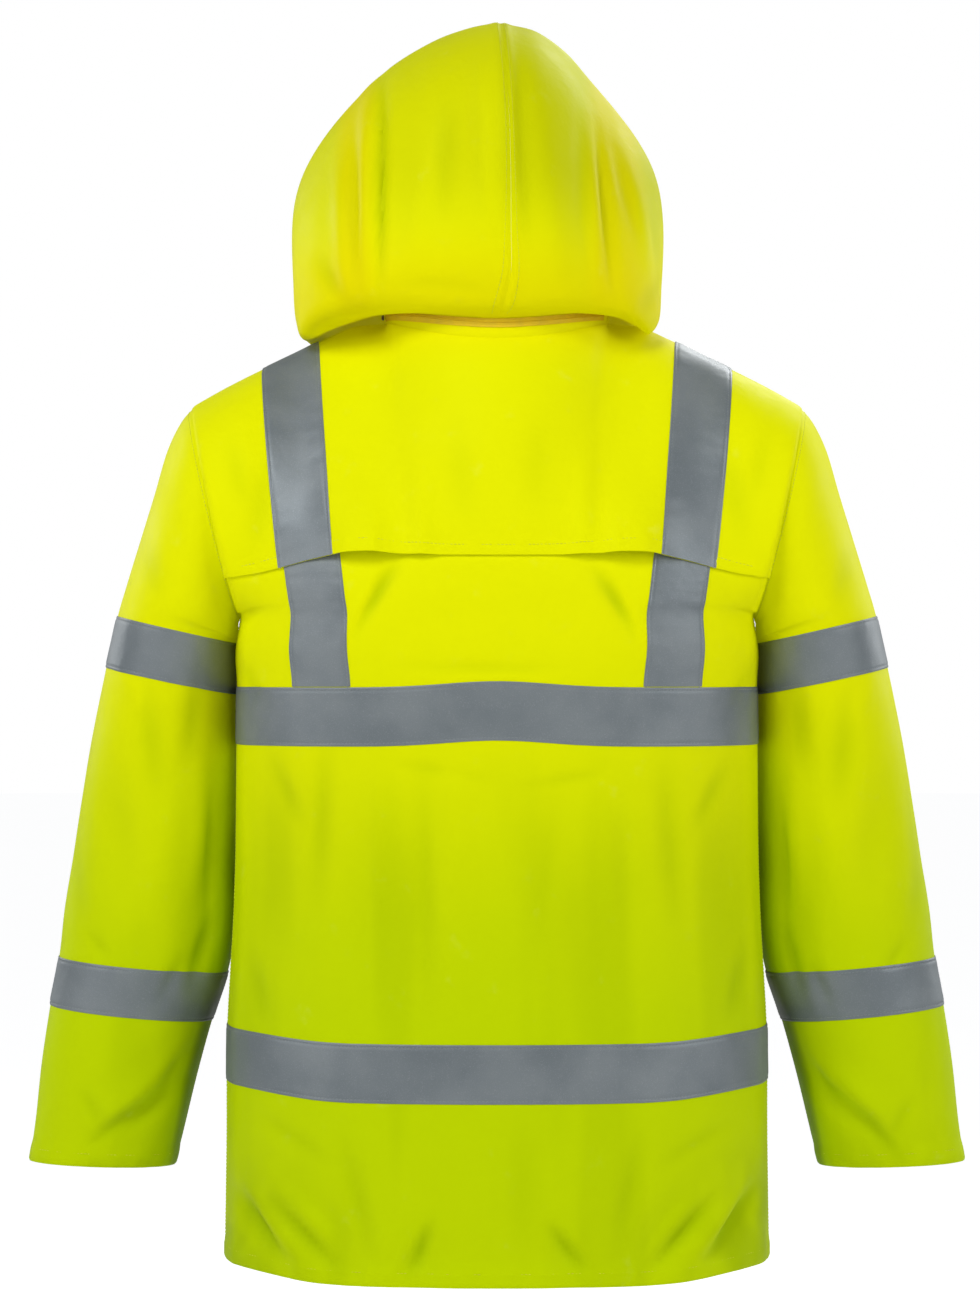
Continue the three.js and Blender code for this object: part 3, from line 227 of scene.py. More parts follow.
# Finer creases that show only up close or in raking light.
BODY_CREASES = (
    Fold(BACK, 106, -232, -33, 105, 6, -5.2), Fold(BACK, 117, -244, -30, 84, 5.5, 3.6),
    Fold(BACK, -106, -238, 35, 105, 6, -5.2), Fold(BACK, -117, -250, 31, 84, 5.5, 3.6),
    Fold(BACK, 10, -289, 88, 210, 5, -0.9), Fold(BACK, -22, -297, 93, 170, 4, 0.8),
    Fold(BACK, 207, -766, 41, 105, 6.5, -6), Fold(BACK, 194, -762, 40, 110, 6, 4.6),
    Fold(BACK, 164, -770, 43, 110, 5.5, -5.4), Fold(BACK, 152, -764, 40, 90, 6, 3.6),
    Fold(BACK, 118, -742, 14, 150, 9, -2.2), Fold(BACK, 65, -780, -21, 72, 5, -4.0),
    Fold(BACK, 76, -780, -24, 60, 5, 1.8), Fold(BACK, -58, -778, 36, 70, 5, -4.0),
    Fold(BACK, -69, -776, 34, 60, 5, 2.4), Fold(BACK, -161, -766, -41, 106, 5.5, -5.2),
    Fold(BACK, -149, -764, -38, 90, 6, 3.6), Fold(BACK, -205, -762, -40, 112, 6.5, -5.8),
    Fold(BACK, -192, -760, -39, 110, 6, 4.4), Fold(BACK, -112, -736, -10, 150, 9, -2.0),
    Fold(BACK, 14, -720, 0, 190, 16, 1.6), Fold(BACK, -22, -730, 0, 180, 15, -1.4),
    Fold(BACK, 150, -420, -3, 190, 9, -2.4), Fold(BACK, 100, -440, 0, 260, 10, 2.0),
    Fold(BACK, 36, -430, 2, 220, 12, 1.8), Fold(BACK, 60, -480, 1, 260, 9, -1.9),
    Fold(BACK, -40, -470, -4, 200, 11, -1.8), Fold(BACK, -148, -440, 5, 210, 10, -2.4),
    Fold(BACK, -96, -450, 2, 240, 10, 2.0), Fold(BACK, 206, -565, 12, 90, 8, -2.8),
    Fold(BACK, -209, -560, -14, 96, 8, -2.8), Fold(BACK, 180, -395, 24, 90, 7, -2.2),
    Fold(BACK, -184, -398, -26, 90, 7, -2.2), Fold(BACK, 46, -376, 80, 120, 5, -1.2),
    Fold(BACK, -60, -382, -82, 110, 5, -1.1), Fold(BACK, 172, -690, 60, 100, 6, -1.6),
    Fold(BACK, -170, -694, -62, 100, 6, -1.6), Fold(BACK, 214, -300, 30, 80, 7, -2.2),
    Fold(BACK, -216, -300, -30, 80, 7, -2.2),
    Fold(FRONT, 44, -440, 4, 180, 9, -1.3), Fold(FRONT, -40, -560, -5, 170, 9, -1.3),
    Fold(FRONT, 160, -575, 16, 90, 7, -2), Fold(FRONT, -170, -560, -18, 100, 7, -2.2),
    Fold(FRONT, 110, -765, 30, 80, 6, -2.6), Fold(FRONT, -104, -770, -26, 76, 6, -2.6),
    Fold(FRONT, 205, -300, 35, 90, 8, -2.2), Fold(FRONT, -204, -296, -35, 96, 8, -2.2),
    Fold(FRONT, 120, -190, -14, 120, 9, -1.8), Fold(FRONT, -126, -180, 12, 130, 9, -1.8),
)
YOKE_CREASES = (
    Fold(BACK, 102, -183, -3, 90, 7, 1.6), Fold(BACK, -98, -183, 4, 84, 7, 1.6),
    Fold(BACK, 30, -120, 6, 130, 12, -0.9), Fold(BACK, -34, -110, -4, 120, 12, -0.9),
    Fold(BACK, 200, -150, -8, 130, 11, -1.6), Fold(BACK, -203, -140, 9, 124, 11, -1.6),
    Fold(BACK, 222, -120, 14, 90, 8, -1.3), Fold(BACK, -226, -110, -12, 96, 8, -1.3),
)
SLEEVE_CREASES = (
    Fold(BACK, 249, -448, -2, 210, 6.5, -5.5), Fold(BACK, 257, -536, -20, 96, 6.5, -5),
    Fold(BACK, 262, -452, -2, 220, 9, 2.6),
    Fold(BACK, 335, -690, -52, 90, 6, -3.4), Fold(BACK, 282, -640, -40, 80, 6, -3),
    Fold(BACK, 350, -531, 42, 46, 5, -1.6), Fold(BACK, 372, -470, 14, 120, 8, -1.5),
    Fold(BACK, 284, -560, -30, 70, 7, -2.4), Fold(BACK, 300, -350, 6, 140, 11, -2.2),
    Fold(BACK, 262, -330, -8, 120, 9, -2.4), Fold(BACK, 322, -300, 30, 90, 9, 1.4),
    Fold(BACK, 356, -676, 34, 60, 6, -1.8), Fold(BACK, 302, -196, 20, 90, 10, -1.6),
    Fold(FRONT, 272, -380, -50, 80, 8, -2.6), Fold(FRONT, 330, -520, -30, 90, 8, -2.2),
    Fold(FRONT, 350, -600, 20, 80, 8, -1.8), Fold(FRONT, 300, -200, -24, 110, 11, -2),
)
HOOD_FOLDS = (
    Fold(BACK, 112, 140, 0, 300, 8, 6.1), Fold(BACK, 100, 136, 0, 300, 4.5, -5.5),
    Fold(BACK, 123, 120, 1, 230, 5, -4.6), Fold(BACK, 135, 100, 3, 200, 7, 3.8),
    Fold(BACK, 66, 110, -7, 170, 12, 2.3), Fold(BACK, 46, 150, -4, 150, 11, -2.5),
    Fold(BACK, 10, 170, 2, 230, 11, 4.3), Fold(BACK, -19, 165, 3, 250, 9, -4.1),
    Fold(BACK, -46, 120, 6, 200, 13, 2.2), Fold(BACK, -82, 120, 4, 230, 7, 4.1),
    Fold(BACK, -93, 118, 5, 240, 5, -5.2), Fold(BACK, -112, 128, 15, 170, 6, -4.3),
    Fold(BACK, -126, 96, 10, 150, 7, 3.5), Fold(BACK, -140, 80, 6, 120, 6, -3.2),
    Fold(BACK, 20, 34, 84, 210, 6, -2.3), Fold(BACK, -30, 26, 97, 190, 5, 1.9),
    Fold(BACK, 140, 40, 30, 90, 8, -3.5), Fold(BACK, -138, 36, -32, 80, 8, -3.2),
)


def smooth(low: float, high: float, value):
    """Eases from 0 at low to 1 at high."""
    t = np.clip((np.asarray(value, float) - low) / (high - low), 0, 1)
    return t * t * (3 - 2 * t)


def mix(a, b, t):
    """Goes from a to b as t goes from 0 to 1."""
    return a + (b - a) * t


def unit(v: np.ndarray) -> np.ndarray:
    """Gives vectors a length of 1."""
    return v / np.maximum(np.linalg.norm(v, axis=-1, keepdims=True), 1e-9)


def mirror_x(v: np.ndarray) -> np.ndarray:
    """Turns points or directions over to the other side of the jacket."""
    return np.asarray(v) * np.array([-1.0, 1.0, 1.0])


def read(table: Sequence, key: str, at: float, column: str) -> float:
    """Reads a table at a value between its rows, along a smooth curve through them."""
    keys = [getattr(row, key) for row in table]
    values = [getattr(row, column) for row in table]
    i = int(np.clip(np.searchsorted(keys, at, side="right") - 1, 0, len(keys) - 2))
    span = keys[i + 1] - keys[i]
    t = min(1.0, max(0.0, (at - keys[i]) / span))
    slopes = [(values[k + 1] - values[k]) / (keys[k + 1] - keys[k]) for k in range(len(keys) - 1)]

    def slope(k: int) -> float:
        if k in (0, len(keys) - 1):
            return slopes[min(k, len(slopes) - 1)]
        return (values[k + 1] - values[k - 1]) / (keys[k + 1] - keys[k - 1])

    return (
        values[i] * (2 * t**3 - 3 * t**2 + 1)
        + slope(i) * span * (t**3 - 2 * t**2 + t)
        + values[i + 1] * (3 * t**2 - 2 * t**3)
        + slope(i + 1) * span * (t**3 - t**2)
    )


def ripple(along: np.ndarray, seed: int, wave: float = 17.0) -> np.ndarray:
    """An uneven ripple between about -1 and 1, the same every time for a seed."""
    turns = np.random.default_rng(seed).random(4) * math.tau
    waves = (1.0, 1.63, 0.58, 2.37)
    parts = [np.sin(math.tau * along / wave * w + t) for w, t in zip(waves, turns)]
    return (parts[0] + 0.6 * parts[1] + 0.8 * parts[2] + 0.35 * parts[3]) / 2.2


# The lines of the cut, as points in space.


def neck_at(turn: float) -> np.ndarray:
    """The neck seam at a turn from the middle of the back, 0, to the middle of the front, 180."""
    s, c = math.sin(math.radians(turn)), math.cos(math.radians(turn))
    y = NECK_MIDDLE_Y + (NECK_BACK if c > 0 else NECK_FRONT) * c
    back_z = mix(NECK_BACK_Z, NECK_SIDE_Z, s * s)
    front_z = mix(NECK_SIDE_Z, NECK_FRONT_Z, abs(c) ** NECK_DIP)
    return np.array([NECK_HALF * s, y, back_z if c > 0 else front_z])


def neck_out(turn: float) -> np.ndarray:
    """Straight out from the neck, level with the ground."""
    return np.array([math.sin(math.radians(turn)), math.cos(math.radians(turn)), 0.0])


def neck_edge(turn: float) -> np.ndarray:
    """The direction of the cloth's edge at the neck seam."""
    return unit(neck_out(turn) + np.array([0, 0, 0.7]))


def ridge_at(x: float) -> np.ndarray:
    """A point of the shoulder ridge."""
    out = (x - NECK_HALF) / (ARMHOLE.out_x - NECK_HALF)
    return np.array([x, mix(NECK_MIDDLE_Y, 0, out), read(RIDGE, "x", x, "z")])


def ring_at(ring: Ring, side: int, t: float) -> np.ndarray:
    """A point of a sleeve ring, from its innermost point, 0, to its outermost point, 1."""
    rise = t * t * (3 - 2 * t)
    y = ring.y + side * ring.depth * 4 * t * (1 - t)
    return np.array([mix(ring.in_x, ring.out_x, rise), y, mix(ring.in_z, ring.out_z, rise)])


ARMHOLE_UP = unit(np.array([ARMHOLE.out_x - ARMHOLE.in_x, 0.0, ARMHOLE.out_z - ARMHOLE.in_z]))
ARMHOLE_OUT = np.array([ARMHOLE_UP[2], 0.0, -ARMHOLE_UP[0]])
ARMHOLE_TURNS = [FLAP_TURN * k / ROWS_UNDER_FLAP for k in range(ROWS_UNDER_FLAP + 1)] + [
    mix(FLAP_TURN, 1, k / ROWS_OVER_FLAP) for k in range(1, ROWS_OVER_FLAP + 1)
]


def armhole_edge(side: int, t: float) -> np.ndarray:
    """The direction of the cloth's edge at the armhole, shared by the panels and the sleeve."""
    along = ring_at(ARMHOLE, side, t + 0.001) - ring_at(ARMHOLE, side, t - 0.001)
    away = side * np.cross(ARMHOLE_OUT, along)
    middle = ring_at(ARMHOLE, side, 0.5) * np.array([1, 0, 1])
    if away @ (ring_at(ARMHOLE, side, t) - middle) < 0:
        away = -away
    return unit(unit(away) + ARMHOLE_LEAN * ARMHOLE_OUT)


def body_at(side: int, share: float, z: float) -> np.ndarray:
    """A point of the body under the arms."""
    half = read(BODY_SECTIONS, "z", z, "half")
    reach = read(BODY_SECTIONS, "z", z, "back" if side == BACK else "front")
    square = read(BODY_SECTIONS, "z", z, "square")
    spread = (LINE_SPREAD / half) * 4 * share * (1 - share) * float(smooth(CHEST_TAPE[1], UNDERARM_Z, z))
    out = share + spread
    x = half * out
    y = side * reach * max(0.0, 1 - out**square) ** (1 / square)
    beside = abs(z - sum(CHEST_TAPE) / 2)
    rise = 5.5 * float(smooth(90, 20, beside)) * math.exp(-((x / 62) ** 2)) if side == BACK else 0
    rise += SIDE_RISE * float(smooth(0.55, 1, share) * smooth(-520, -640, z))
    return np.array([x, y, z + rise])


def line_curve(side: int, line: Line) -> list[np.ndarray]:
    """The handles of a line's curve from the underarm's height up to the neck or the ridge."""
    low = body_at(side, line.share, UNDERARM_Z)
    if line.neck_turn is not None:
        top = neck_at(line.neck_turn if side == BACK else 180 - line.neck_turn)
    else:
        top = ridge_at(line.ridge_x)
    rise, out = top[2] - low[2], top[0] - low[0]
    ridge = float(smooth(0.2, 0.6, line.share))
    reach, drop = (30, 62) if side == BACK else (16, 66)
    low_handle = low + np.array([0.5 * out, side * 5, 0.38 * rise])
    high_handle = top + np.array(
        [-0.05 * out, side * mix(reach, RIDGE_REACH, ridge), -mix(drop, RIDGE_DROP, ridge)]
    )
    deep = side * ARMHOLE.depth * 4 / 3
    near = float(smooth(0.8, 1, line.share))
    across = np.array([near, float(smooth(0.6, 1, line.share)), near])
    low_handle = mix(low_handle, np.array([ARMHOLE.in_x, deep, ARMHOLE.in_z]), across)
    high_handle = mix(high_handle, np.array([ARMHOLE.out_x, deep, ARMHOLE.out_z]), across)
    return [low, low_handle, high_handle, top]


def bezier(handles: Sequence[np.ndarray], t: float) -> np.ndarray:
    """A point on a curve of four handles."""
    s = 1 - t
    weights = (s * s * s, 3 * s * s * t, 3 * s * t * t, t * t * t)
    return sum(w * p for w, p in zip(weights, handles))


def flap_height(share: float) -> float:
    """The height of the yoke's lower edge."""
    return float(mix(FLAP_MIDDLE_Z, FLAP_SIDE_Z, smooth(0.5, 1, share)))


def shoulder_rows(side: int, line: Line) -> list[np.ndarray]:
    """The points of one line from the underarm's height to its top."""
    curve = line_curve(side, line)
    low, high = 0.0, 1.0
    for _ in range(30):
        middle = (low + high) / 2
        if bezier(curve, middle)[2] < flap_height(line.share):
            low = middle
        else:
            high = middle
    under = [bezier(curve, low * k / ROWS_UNDER_FLAP) for k in range(ROWS_UNDER_FLAP + 1)]
    over = [bezier(curve, mix(low, 1, k / ROWS_OVER_FLAP)) for k in range(1, ROWS_OVER_FLAP + 1)]
    return under + over


def outward(points: np.ndarray, away: np.ndarray, ring: bool = False) -> np.ndarray:
    """The direction out of the cloth at each point of a grid, from its neighbours."""
    padded = np.concatenate([points[:1], points, points[-1:]])
    up = padded[2:] - padded[:-2]
    if ring:
        across = np.roll(points, -1, 1) - np.roll(points, 1, 1)
    else:
        padded = np.concatenate([points[:, :1], points, points[:, -1:]], axis=1)
        across = padded[:, 2:] - padded[:, :-2]
    out = unit(np.cross(up, across))
    return out if (out * away).sum() > 0 else -out


def between(grid: np.ndarray, at: Sequence[float], ring: bool = False) -> np.ndarray:
    """Reads a grid's first axis at places between its lines, on a smooth curve through them."""
    count = len(grid)
    if ring:
        padded = np.concatenate([grid[-1:], grid, grid[:2]])
        start = np.floor(at).astype(int) % count
        t = np.asarray(at, float) - np.floor(at)
    else:
        padded = np.concatenate([[2 * grid[0] - grid[1]], grid, [2 * grid[-1] - grid[-2]]])
        start = np.clip(np.floor(at).astype(int), 0, count - 2)
        t = np.asarray(at, float) - start
    a, b, c, d = (padded[start + k] for k in range(4))
    t = t.reshape((-1,) + (1,) * (grid.ndim - 1))
    return 0.5 * (2 * b + (c - a) * t + (2 * a - 5 * b + 4 * c - d) * t**2 + (3 * b - a - 3 * c + d) * t**3)


def fold_sum(folds: Sequence[Fold], side: int, x: np.ndarray, z: np.ndarray) -> np.ndarray:
    """How far the folds move the cloth at each place."""
    total = np.zeros(np.shape(x))
    for f in folds:
        if f.side != side:
            continue
        s, c = math.sin(math.radians(f.lean)), math.cos(math.radians(f.lean))
        along = (x - f.x) * s + (z - f.z) * c
        across = (x - f.x) * c - (z - f.z) * s
        fade = np.where(np.abs(along) < f.length / 2, np.cos(math.pi * along / f.length) ** 2, 0)
        total += f.depth * fade * np.exp(-((across / f.width) ** 2))
    return total


@dataclass
class Patch:
    """A fine grid of points on a piece of cloth, with their directions out of it."""

    p: np.ndarray
    n: np.ndarray
    # How much painted shade each point takes: from the troughs of folds and creases, and on a sleeve's side
    # that faces the body.
    shade: np.ndarray

    def moved(self, distance) -> "Patch":
        """The same grid, moved out of the cloth."""
        distance = np.asarray(distance, float)
        step = distance[..., None] if distance.ndim else distance
        return Patch(self.p + self.n * step, self.n, self.shade)

    def along(self, axis: int) -> np.ndarray:
        """How far each point is from the grid's first line, along the cloth."""
        steps = np.linalg.norm(np.diff(self.p, axis=axis), axis=-1)
        start = np.zeros_like(np.take(self.p[..., 0], [0], axis=axis))
        return np.concatenate([start, np.cumsum(steps, axis=axis)], axis=axis)


def everywhere(rows: np.ndarray, columns: np.ndarray) -> np.ndarray:
    """Lets the folds cross the whole cut."""
    return np.ones(np.broadcast(rows, columns).shape)


# Painted shadow: the side of a sleeve that faces the body is marked to be painted darker between these
# heights, and more over the cuff, for the shade between sleeve and body.
INNER_SHADE_Z, DEEP_SHADE_Z, DEEP_SHADE = (-300, -480), (-560, -610), 0.25


@dataclass
class Cut:
    """A piece of cloth as a coarse grid of lines, which is read at any place between them."""

    points: np.ndarray
    out: np.ndarray
    folds: Sequence[Fold] = ()
    creases: Sequence[Fold] = ()
    fold_hold: Callable = everywhere
    crease_hold: Callable = everywhere
    ring: bool = False
    flip: bool = False
    round_side: bool = False
    # How strongly a sleeve's side that faces the body is marked for painted shadow.
    inner_shade: float = 1.7
    # How strongly the troughs of the broad folds are marked for painted shade; creases are marked fully.
    trough_shade: float = 0.25

    def at(self, rows: Sequence[float], columns: Sequence[float]) -> Patch:
        """Reads the cut at rows and columns between its lines, with its folds.

        Args:
            rows: Places along the cut, in lines.
            columns: Places across the cut, in lines.

        Returns:
            The fine grid.
        """
        rows, columns = np.asarray(rows, float), np.asarray(columns, float)
        p, n = self._read(self.points, rows, columns), unit(self._read(self.out, rows, columns))
        grid_rows, grid_columns = rows[:, None], columns[None, :]
        facing = np.minimum(1, np.abs(n[..., 1]) * 1.4)
        x = np.where(self.flip, -p[..., 0], p[..., 0])
        move, shade = np.zeros(p.shape[:2]), np.zeros(p.shape[:2])
        kinds = ((self.folds, self.fold_hold, self.trough_shade), (self.creases, self.crease_hold, 1.0))
        for folds, hold, trough_shade in kinds:
            back, front = (fold_sum(folds, side, x, p[..., 2]) for side in (BACK, FRONT))
            step = np.where(n[..., 1] > 0, back, front) * facing * hold(grid_rows, grid_columns)
            move += step
            # Painted shade: the troughs of folds and creases are marked to be painted darker.
            shade += trough_shade * np.clip(-step / 4.5, 0, 1)
        # Painted shadow: on a sleeve, the side that faces the body is marked darker lower down.
        if self.ring:
            inward = smooth(0.55, 1.0, -np.sign(p[..., 0]) * n[..., 0])
            low_down = smooth(*INNER_SHADE_Z, p[..., 2]) + DEEP_SHADE * smooth(*DEEP_SHADE_Z, p[..., 2])
            shade = np.maximum(shade, self.inner_shade * inward * low_down)
        return Patch(p + n * move[..., None], n, shade)

    def _read(self, grid: np.ndarray, rows: np.ndarray, columns: np.ndarray) -> np.ndarray:
        across = np.swapaxes(grid, 0, 1)
        if self.round_side:
            across = self._with_sides(across)
            columns = columns + 1
        across = between(across, columns, self.ring)
        return between(np.swapaxes(across, 0, 1), rows)

    def _with_sides(self, columns: np.ndarray) -> np.ndarray:
        """Adds the next panel's line past each side seam, so that the cloth rounds into it."""
        ends = []
        for edge, inner in ((0, 1), (-1, -2)):
            beyond = 2 * columns[edge] - columns[inner]
            rounded = columns[inner] * np.array([1, -1, 1])
            below = np.arange(len(beyond))[:, None] < FIRST_SHOULDER_ROW
            ends.append(np.where(below, rounded, beyond)[None])
        return np.concatenate([ends[0], columns, ends[1]])

    def lines(self, axis: int, step: float, first: float = 0, last: float | None = None) -> np.ndarray:
        """Places along one axis, about step millimetres apart, from one line to another."""
        grid = self.points if axis == 0 else np.swapaxes(self.points, 0, 1)
        count = len(grid) if self.ring and axis == 1 else len(grid) - 1
        last = count if last is None else last
        places = [first]
        for i in range(int(math.floor(first)), int(math.ceil(last))):
            low, high = max(first, i), min(last, i + 1)
            length = np.linalg.norm(grid[(i + 1) % len(grid)] - grid[i], axis=-1).max() * (high - low)
            parts = max(1, round(length / step))
            places += [low + (high - low) * (k + 1) / parts for k in range(parts)]
        return np.array(places)

    def beside(self, axis: int, line: float, distance: float) -> float:
        """The place a distance in millimetres from a line, along one axis."""
        grid = self.points if axis == 0 else np.swapaxes(self.points, 0, 1)
        i = int(math.floor(line)) if distance > 0 else int(math.ceil(line)) - 1
        i = min(max(i, 0), len(grid) - 2)
        return line + distance / np.linalg.norm(grid[i + 1] - grid[i], axis=-1).mean()


def dense_edges(cut: Cut, axis: int, first: float, last: float, step: float) -> np.ndarray:
    """Places from one line to another, closer together near both ends."""
    near = (0, 0.5, 1.1, 1.8, 2.6, 3.4, 4.6, 6.5)
    low = [cut.beside(axis, first, d) if d else first for d in near]
    high = [cut.beside(axis, last, -d) if d else last for d in near]
    inside = cut.lines(axis, step, low[-1], high[-1])
    return np.concatenate([low[:-1], inside, high[:-1][::-1]])


def panel(side: int, lines: Sequence[Line]) -> tuple[np.ndarray, np.ndarray]:
    """The points and directions of a body panel, from the hem to the neck."""
    body = [[body_at(side, line.share, z) for line in lines] for z in BODY_HEIGHTS[:-1]]
    tops = [shoulder_rows(side, line) for line in lines]
    rows = body + [[top[k] for top in tops] for k in range(len(ARMHOLE_TURNS))]
    points = np.array(rows, float)
    flips = np.array([line.flip for line in lines])
    points[:, flips] = mirror_x(points[:, flips])
    first = len(body)
    near_neck = np.array([0.3 < line.share < 0.5 for line in lines])
    for _ in range(4):
        level = (points[:, :-2] + points[:, 2:]) / 2
        inner = points[first + 1:-1, 1:-1]
        ease = 0.5 * near_neck[None, 1:-1, None]
        points[first + 1:-1, 1:-1] = mix(inner, level[first + 1:-1], ease)
    out = outward(points, points * np.array([1, 1, 0]))
    for j, line in enumerate(lines):
        turn_over = mirror_x if line.flip else np.asarray
        if line.share == 1:
            points[:first, j, 1] = side * SEAM
            out[:first, j] = turn_over(np.array([1.0, 0.0, 0.0]))
            for k, t in enumerate(ARMHOLE_TURNS):
                place = ring_at(ARMHOLE, side, t) - SEAM * ARMHOLE_OUT
                place[1] += side * SEAM if t in (0, 1) else 0
                points[first + k, j], out[first + k, j] = turn_over(place), turn_over(armhole_edge(side, t))
        elif line.neck_turn is not None:
            points[-1, j, 2] -= SEAM
            out[-1, j] = turn_over(neck_edge(line.neck_turn if side == BACK else 180 - line.neck_turn))
        else:
            points[-1, j, 1] += side * SEAM
            slope = (ridge_at(line.ridge_x + 2)[2] - ridge_at(line.ridge_x - 2)[2]) / 4
            out[-1, j] = turn_over(unit(np.array([-slope, 0.0, 1.0])))
    return points, out


def both_halves(lines: Sequence[Line]) -> list[Line]:
    """The lines of the right half, mirrored, and then those of the left."""
    return [line._replace(flip=True) for line in reversed(lines[1:])] + list(lines)


def shares_of(lines: Sequence[Line]) -> np.ndarray:
    """Each line's share of the half width."""
    return np.array([line.share for line in lines])


def to_mesh(name: str, vertices: np.ndarray, faces: np.ndarray, uv: np.ndarray, shade: np.ndarray):
    """Makes an object of a closed mesh, with its faces outwards."""
    corner = [vertices[faces[:, k]] for k in range(3)]
    if (corner[0] * np.cross(corner[1], corner[2])).sum() < 0:
        faces = faces[:, ::-1]
    mesh = bpy.data.meshes.new(name)
    mesh.from_pydata((vertices * MM).tolist(), [], faces.tolist())
    layer = mesh.uv_layers.new(name="cut")
    layer.data.foreach_set("uv", (uv[faces.ravel()] * MM).astype(np.float32).ravel())
    mesh.attributes.new("shade", "FLOAT", "POINT").data.foreach_set("value", shade.astype(np.float32))
    mesh.shade_smooth()
    mesh.set_sharp_from_angle(angle=math.radians(55))
    obj = bpy.data.objects.new(name, mesh)
    bpy.context.collection.objects.link(obj)
    return obj


def sheet_faces(rows: int, columns: int, ring: bool) -> np.ndarray:
    """The four-sided faces of a closed wall of two layers."""
    at = np.arange(2 * rows * columns).reshape(2, rows, columns)
    if ring:
        at = np.concatenate([at, at[:, :, :1]], axis=2)
    low, high = at

    def quads(a, b, c, d):
        return np.stack([a.ravel(), b.ravel(), c.ravel(), d.ravel()], axis=1)

    faces = [
        quads(high[:-1, :-1], high[:-1, 1:], high[1:, 1:], high[1:, :-1]),
        quads(low[:-1, :-1], low[1:, :-1], low[1:, 1:], low[:-1, 1:]),
        quads(low[0, :-1], low[0, 1:], high[0, 1:], high[0, :-1]),
        quads(low[-1, :-1], high[-1, :-1], high[-1, 1:], low[-1, 1:]),
    ]
    if not ring:
        faces.append(quads(low[:-1, 0], high[:-1, 0], high[1:, 0], low[1:, 0]))
        faces.append(quads(low[:-1, -1], low[1:, -1], high[1:, -1], high[:-1, -1]))
    return np.concatenate(faces)


def wall(name: str, patch: Patch, low, high, ring: bool = False):
    """Closes a fine grid into a thin wall between two offsets.

    Args:
        name: The new object's name.
        patch: The grid that both faces of the cloth follow.
        low: How far the inner face is moved out, as a number or a grid.
        high: The same for the outer face.
        ring: Whether the last column meets the first.

    Returns:
        The object.
    """
    rows, columns = patch.p.shape[:2]
    layers = [patch.moved(np.broadcast_to(face, (rows, columns))) for face in (low, high)]
    vertices = np.concatenate([layer.p.reshape(-1, 3) for layer in layers])
    across, down = patch.along(1).mean(axis=0), patch.along(0).mean(axis=1)
    uv = np.stack(np.meshgrid(across, down), axis=-1).reshape(-1, 2)
    shade = patch.shade.ravel()
    faces = sheet_faces(rows, columns, ring)
    return to_mesh(name, vertices, faces, np.concatenate([uv, uv]), np.concatenate([shade, shade]))


# Finishes.


class Tree:
    """A small helper that adds and joins shader nodes."""

    def __init__(self, name: str):
        self.material = bpy.data.materials.new(name)
        self.material.use_nodes = True
        self.nodes = self.material.node_tree.nodes
        self.links = self.material.node_tree.links
        self.shader = self.nodes["Principled BSDF"]

    def add(self, kind: str, values: dict | None = None, **properties):
        """Adds a node, sets its properties and then its sockets, which may be given another node's output."""
        node = self.nodes.new(kind)
        for key, value in properties.items():
            setattr(node, key, value)
        for key, value in (values or {}).items():
            self.join(node.inputs[key], value)
        return node

    def join(self, socket, value) -> None:
        """Sets a socket, or links it where the value is an output."""
        if isinstance(value, bpy.types.NodeSocket):
            self.links.new(value, socket)
        else:
            socket.default_value = value

    def math(self, operation: str, a, b=0.0, c=0.0):
        """A Math node's output."""
        return self.add("ShaderNodeMath", {0: a, 1: b, 2: c}, operation=operation).outputs[0]

    def colours(self, factor, a, b, blend: str = "MIX"):
        """Mixes two colours."""
        node = self.add("ShaderNodeMix", data_type="RGBA", blend_type=blend)
        self.join(node.inputs[0], factor)
        self.join(node.inputs[6], a)
        self.join(node.inputs[7], b)
        return node.outputs[2]

    def span(self, value, low: float, high: float, to_low: float = 0.0, to_high: float = 1.0):
        """Maps a range smoothly to another."""
        node = self.add("ShaderNodeMapRange", interpolation_type="SMOOTHSTEP")
        for index, part in enumerate((value, low, high, to_low, to_high)):
            self.join(node.inputs[index], part)
        return node.outputs[0]

    def noise(self, vector, scale: float, detail: float = 2.0, rough: float = 0.5):
        """A noise texture's value."""
        values = {"Vector": vector, "Scale": scale, "Detail": detail, "Roughness": rough}
        return self.add("ShaderNodeTexNoise", values).outputs["Fac"]

    def bumps(self, *layers: tuple) -> None:
        """Adds bumps to the shader, each a height and its depth in metres."""
        normal = None
        for height, depth in layers:
            values = {"Height": height, "Distance": depth, "Strength": 1.0}
            if normal is not None:
                values["Normal"] = normal
            normal = self.add("ShaderNodeBump", values).outputs["Normal"]
        self.join(self.shader.inputs["Normal"], normal)

    def settle(self, **sockets) -> bpy.types.Material:
        """Sets the shader's own sockets, with spaces for underscores, and returns the material."""
        for key, value in sockets.items():
            self.join(self.shader.inputs[key.replace("_", " ")], value)
        return self.material


